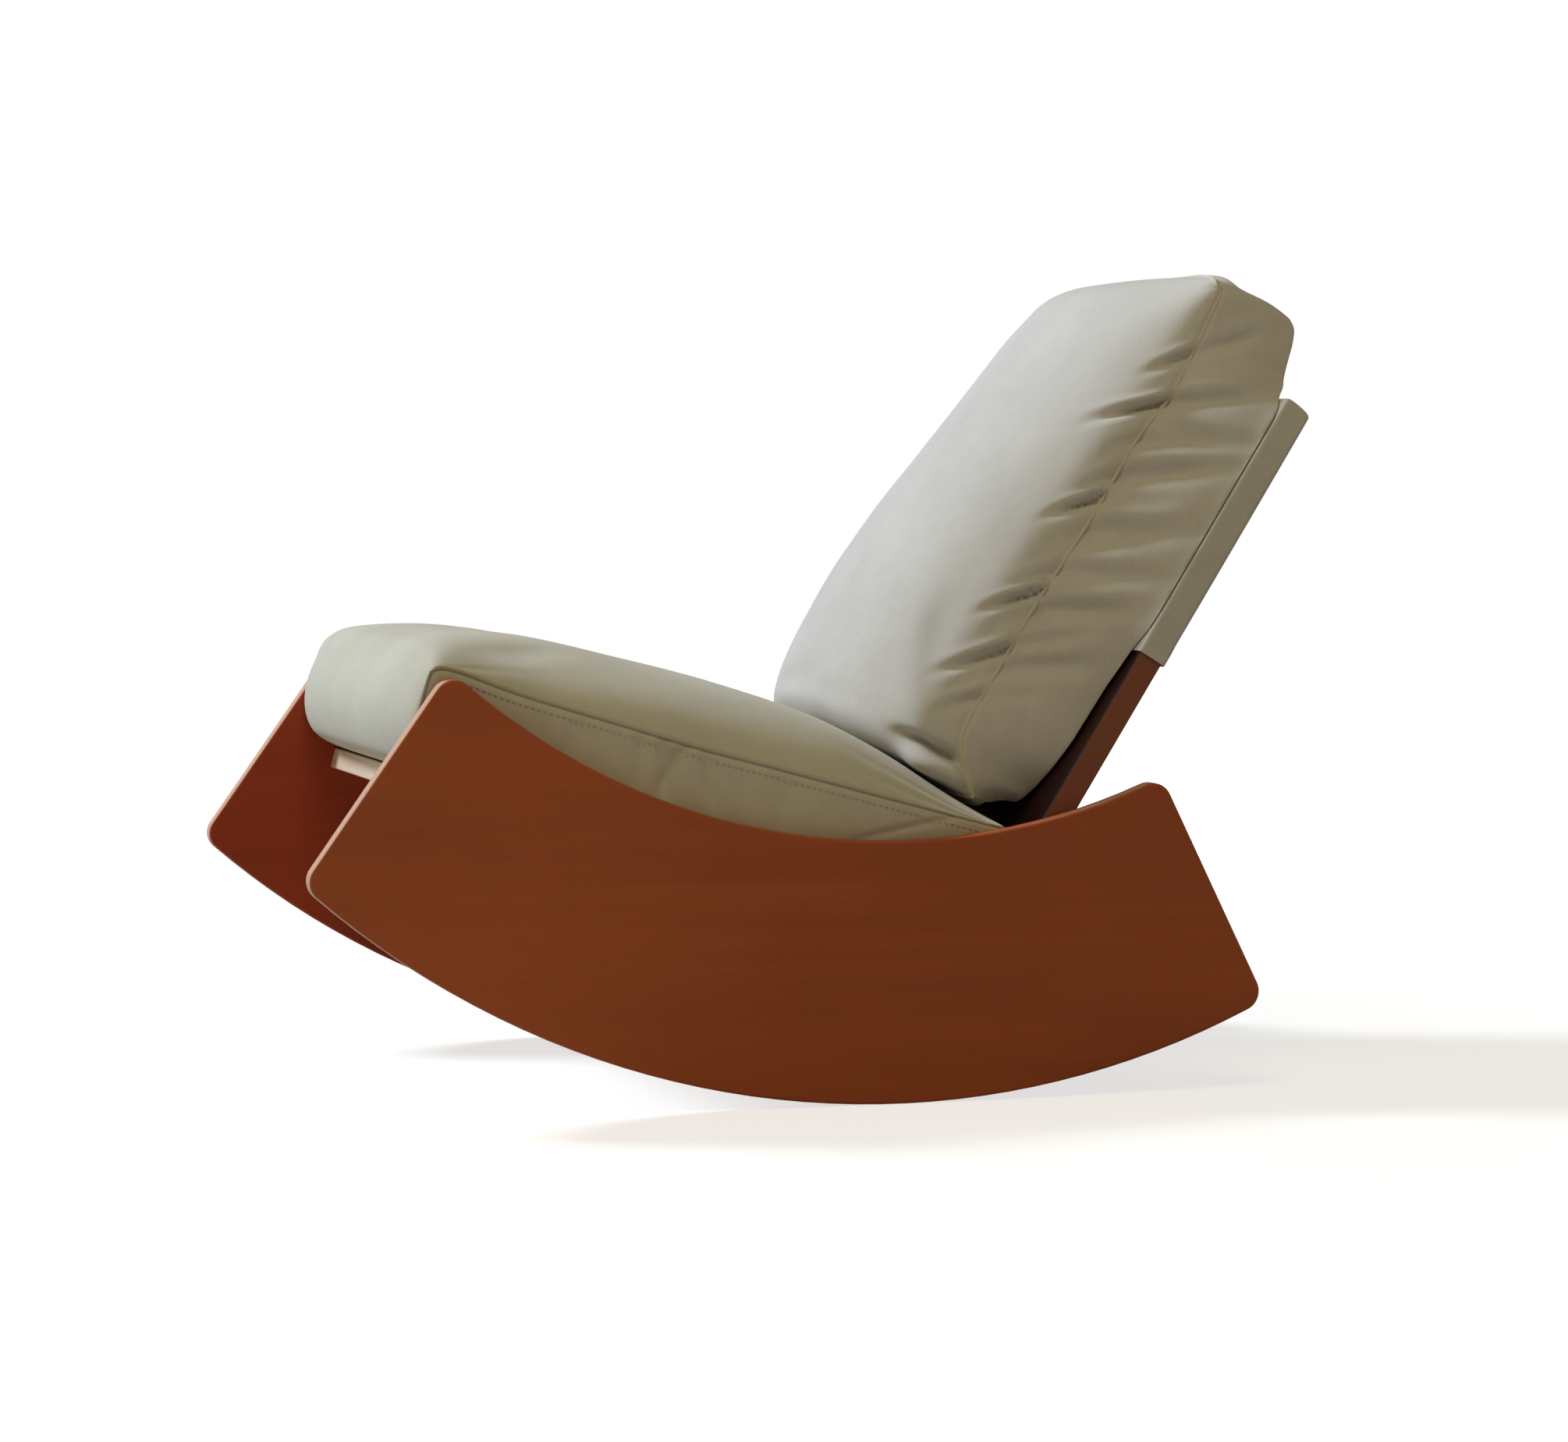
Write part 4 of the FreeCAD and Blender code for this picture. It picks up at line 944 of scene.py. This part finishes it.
class CHAIR_OT_back_sleeve(bpy.types.Operator):
    """Make the cloth sleeve that slips over the back"""

    bl_idname = "chair.back_sleeve"
    bl_label = "Back sleeve"

    def execute(self, context):
        settings = context.scene.chair
        sizes = settings.sleeve
        edges = np.array((0, 0.12, 0.35, 0.65, 1.0)) * 2 * sizes.corner
        grids = []
        for low, high, inner in ((-sizes.half_width, sizes.half_width, 80), (sizes.hem, sizes.top, 38),
                                 (sizes.rear, sizes.front, 5)):
            middle = np.linspace(low + edges[-1], high - edges[-1], inner)[1:-1]
            grids.append(np.concatenate([low + edges, middle, high - edges[::-1]]))
        spans = tuple(len(grid) - 1 for grid in grids)
        numbers, quads = box_lattice(spans)
        order = np.array(list(numbers))
        open_end = {number for point, number in numbers.items() if point[1] == 0}
        quads = [quad for quad in quads if not all(corner in open_end for corner in quad)]
        box = np.column_stack([grid[order[:, axis]] for axis, grid in enumerate(grids)])
        lowest = np.array((sizes.corner - sizes.half_width, -1, sizes.rear + sizes.corner))
        highest = np.array((sizes.half_width, sizes.top, sizes.front)) - sizes.corner
        core = np.clip(box, lowest, highest)
        outward = box - core
        far = np.maximum(np.linalg.norm(outward, axis=1, keepdims=True), 1e-9)
        box = core + sizes.corner * outward / far
        x, p, q = box.T
        depth = (sizes.front - q) / (sizes.front - sizes.rear)
        p = p - 0.004 * depth**3 * fade(p, sizes.top - 0.05, sizes.top)
        height = (p - sizes.hem) / (sizes.top - sizes.hem)
        slack = np.cos(0.5 * math.pi * x / sizes.half_width) ** 0.5
        q = q - 0.003 * slack * np.sin(math.pi * (0.1 + 0.9 * height)) * (depth > 0.9)
        hem = 0.0005 * (1 - fade(p, sizes.hem + 0.016, sizes.hem + 0.020))
        x, q = x + hem * np.sign(x) * (np.abs(x) > sizes.half_width - 0.002), q - hem * (depth > 0.9)
        places = order / spans
        cloth = canvas("sleeve_canvas", tuple(settings.colours.canvas), BACK_LEAN)
        sleeve = new_piece("back_sleeve_canvas", back_points(x, p, q), quads, cloth)
        refine(sleeve, places)
        thick = sleeve.modifiers.new("cloth", "SOLIDIFY")
        thick.thickness = CLOTH_THICKNESS
        thick.offset = -1
        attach(sleeve, "back_cushion")
        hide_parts("back_sleeve")
        return {"FINISHED"}


class CHAIR_OT_stage(bpy.types.Operator):
    """Set up the floor, the lamps and the camera"""

    bl_idname = "chair.stage"
    bl_label = "Stage"

    def execute(self, context):
        stage = context.scene.chair.stage
        self.floor(stage)
        self.sky(context.scene, stage)
        self.lamp("key", KEY_PLACE, KEY_SIDE, stage.key, KEY_TINT)
        self.lamp("fill", FILL_PLACE, FILL_SIDE, stage.fill, WARM_TINT)
        self.camera(context.scene, stage)
        context.scene.view_settings.view_transform = "Standard"
        return {"FINISHED"}

    def floor(self, stage):
        """A wide pale floor that still takes the chair's shadow."""
        finish = Finish("pale_floor")
        cloud = finish.noise(finish.place(), 1.5, 2.0)
        tone = finish.mix(cloud, tuple(stage.floor), tuple(0.97 * part for part in stage.floor))
        away = finish.node("ShaderNodeVectorMath", {"operation": "LENGTH"}, {0: finish.place()},
                           output="Value")
        white = finish.mix(finish.ramp(away, 0.8, 2.4), NEAR_GLOW, FAR_GLOW)
        matt = {"Base Color": tone, "Roughness": 1.0, "Specular IOR Level": 0.0}
        glow = {"Emission Color": white, "Emission Strength": 1.0}
        plain = finish.node("ShaderNodeBsdfPrincipled", None, matt)
        bright = finish.node("ShaderNodeBsdfPrincipled", None, {**matt, **glow})
        shown = finish.node("ShaderNodeMixShader", None, {"Fac": finish.seen(), 1: plain, 2: bright})
        finish.node("ShaderNodeOutputMaterial", None, {"Surface": shown})
        corners = [(x * FLOOR_HALF, y * FLOOR_HALF, 0) for x, y in ((-1, -1), (1, -1), (1, 1), (-1, 1))]
        floor = new_piece("floor", corners, [[0, 1, 2, 3]], finish.holder)

    def sky(self, scene, stage):
        """Even light from all round, white where the camera sees it."""
        world = bpy.data.worlds.new("studio")
        finish = Finish("studio", world)
        light = finish.node("ShaderNodeBackground", None, {"Color": (*WARM_TINT, 1), "Strength": stage.sky})
        white = finish.node("ShaderNodeBackground", None, {"Color": (1, 1, 1, 1), "Strength": 1.0})
        both = finish.node("ShaderNodeMixShader", None, {"Fac": finish.seen(), 1: light, 2: white})
        finish.node("ShaderNodeOutputWorld", None, {"Surface": both})
        scene.world = world

    def lamp(self, name, place, side, power, tint):
        """A square soft box that faces the chair."""
        data = bpy.data.lights.new(name, "AREA")
        data.shape = "SQUARE"
        data.size = side
        data.energy = power
        data.color = tint
        lamp = bpy.data.objects.new(name, data)
        lamp.location = place
        lamp.rotation_euler = (Vector(LAMP_AIM) - Vector(place)).to_track_quat("-Z", "Y").to_euler()
        bpy.context.scene.collection.objects.link(lamp)

    def camera(self, scene, stage):
        """The camera, to the left of the chair and a little in front of it."""
        data = bpy.data.cameras.new("camera")
        data.lens = stage.lens
        data.sensor_width = 36
        camera = bpy.data.objects.new("camera", data)
        flat = math.cos(stage.elevation)
        away = Vector((math.sin(stage.azimuth) * flat, -math.cos(stage.azimuth) * flat,
                       math.sin(stage.elevation)))
        camera.location = Vector(CAMERA_TARGET) + away * stage.distance
        camera.rotation_euler = (-away).to_track_quat("-Z", "Y").to_euler()
        scene.collection.objects.link(camera)
        scene.camera = camera


class CHAIR_PT_sidebar(bpy.types.Panel):
    """The chair's pieces and sizes"""

    bl_idname = "CHAIR_PT_sidebar"
    bl_label = "Rocking chair"
    bl_space_type = "VIEW_3D"
    bl_region_type = "UI"
    bl_category = "Chair"

    def draw(self, context):
        for operator in OPERATORS:
            self.layout.operator(operator.bl_idname)
        settings = context.scene.chair
        for group in (settings.seat, settings.back, settings.sleeve, settings.colours, settings.stage):
            box = self.layout.box()
            for name in group.__annotations__:
                box.prop(group, name)


OPERATORS = (CHAIR_OT_boards, CHAIR_OT_fasteners, CHAIR_OT_seat_cushion, CHAIR_OT_back_cushion,
             CHAIR_OT_back_sleeve, CHAIR_OT_stage)
CLASSES = (SeatCushionSizes, BackCushionSizes, SleeveSizes, FinishColours, StageSizes, ChairSettings,
           *OPERATORS, CHAIR_PT_sidebar)


def register():
    for kind in CLASSES:
        bpy.utils.register_class(kind)
    bpy.types.Scene.chair = PointerProperty(type=ChairSettings)


def unregister():
    del bpy.types.Scene.chair
    for kind in reversed(CLASSES):
        bpy.utils.unregister_class(kind)


def main():
    register()
    bpy.ops.chair.boards()
    bpy.ops.chair.fasteners()
    bpy.ops.chair.seat_cushion()
    bpy.ops.chair.back_cushion()
    bpy.ops.chair.back_sleeve()
    bpy.ops.chair.stage()


if __name__ == "__main__":
    main()
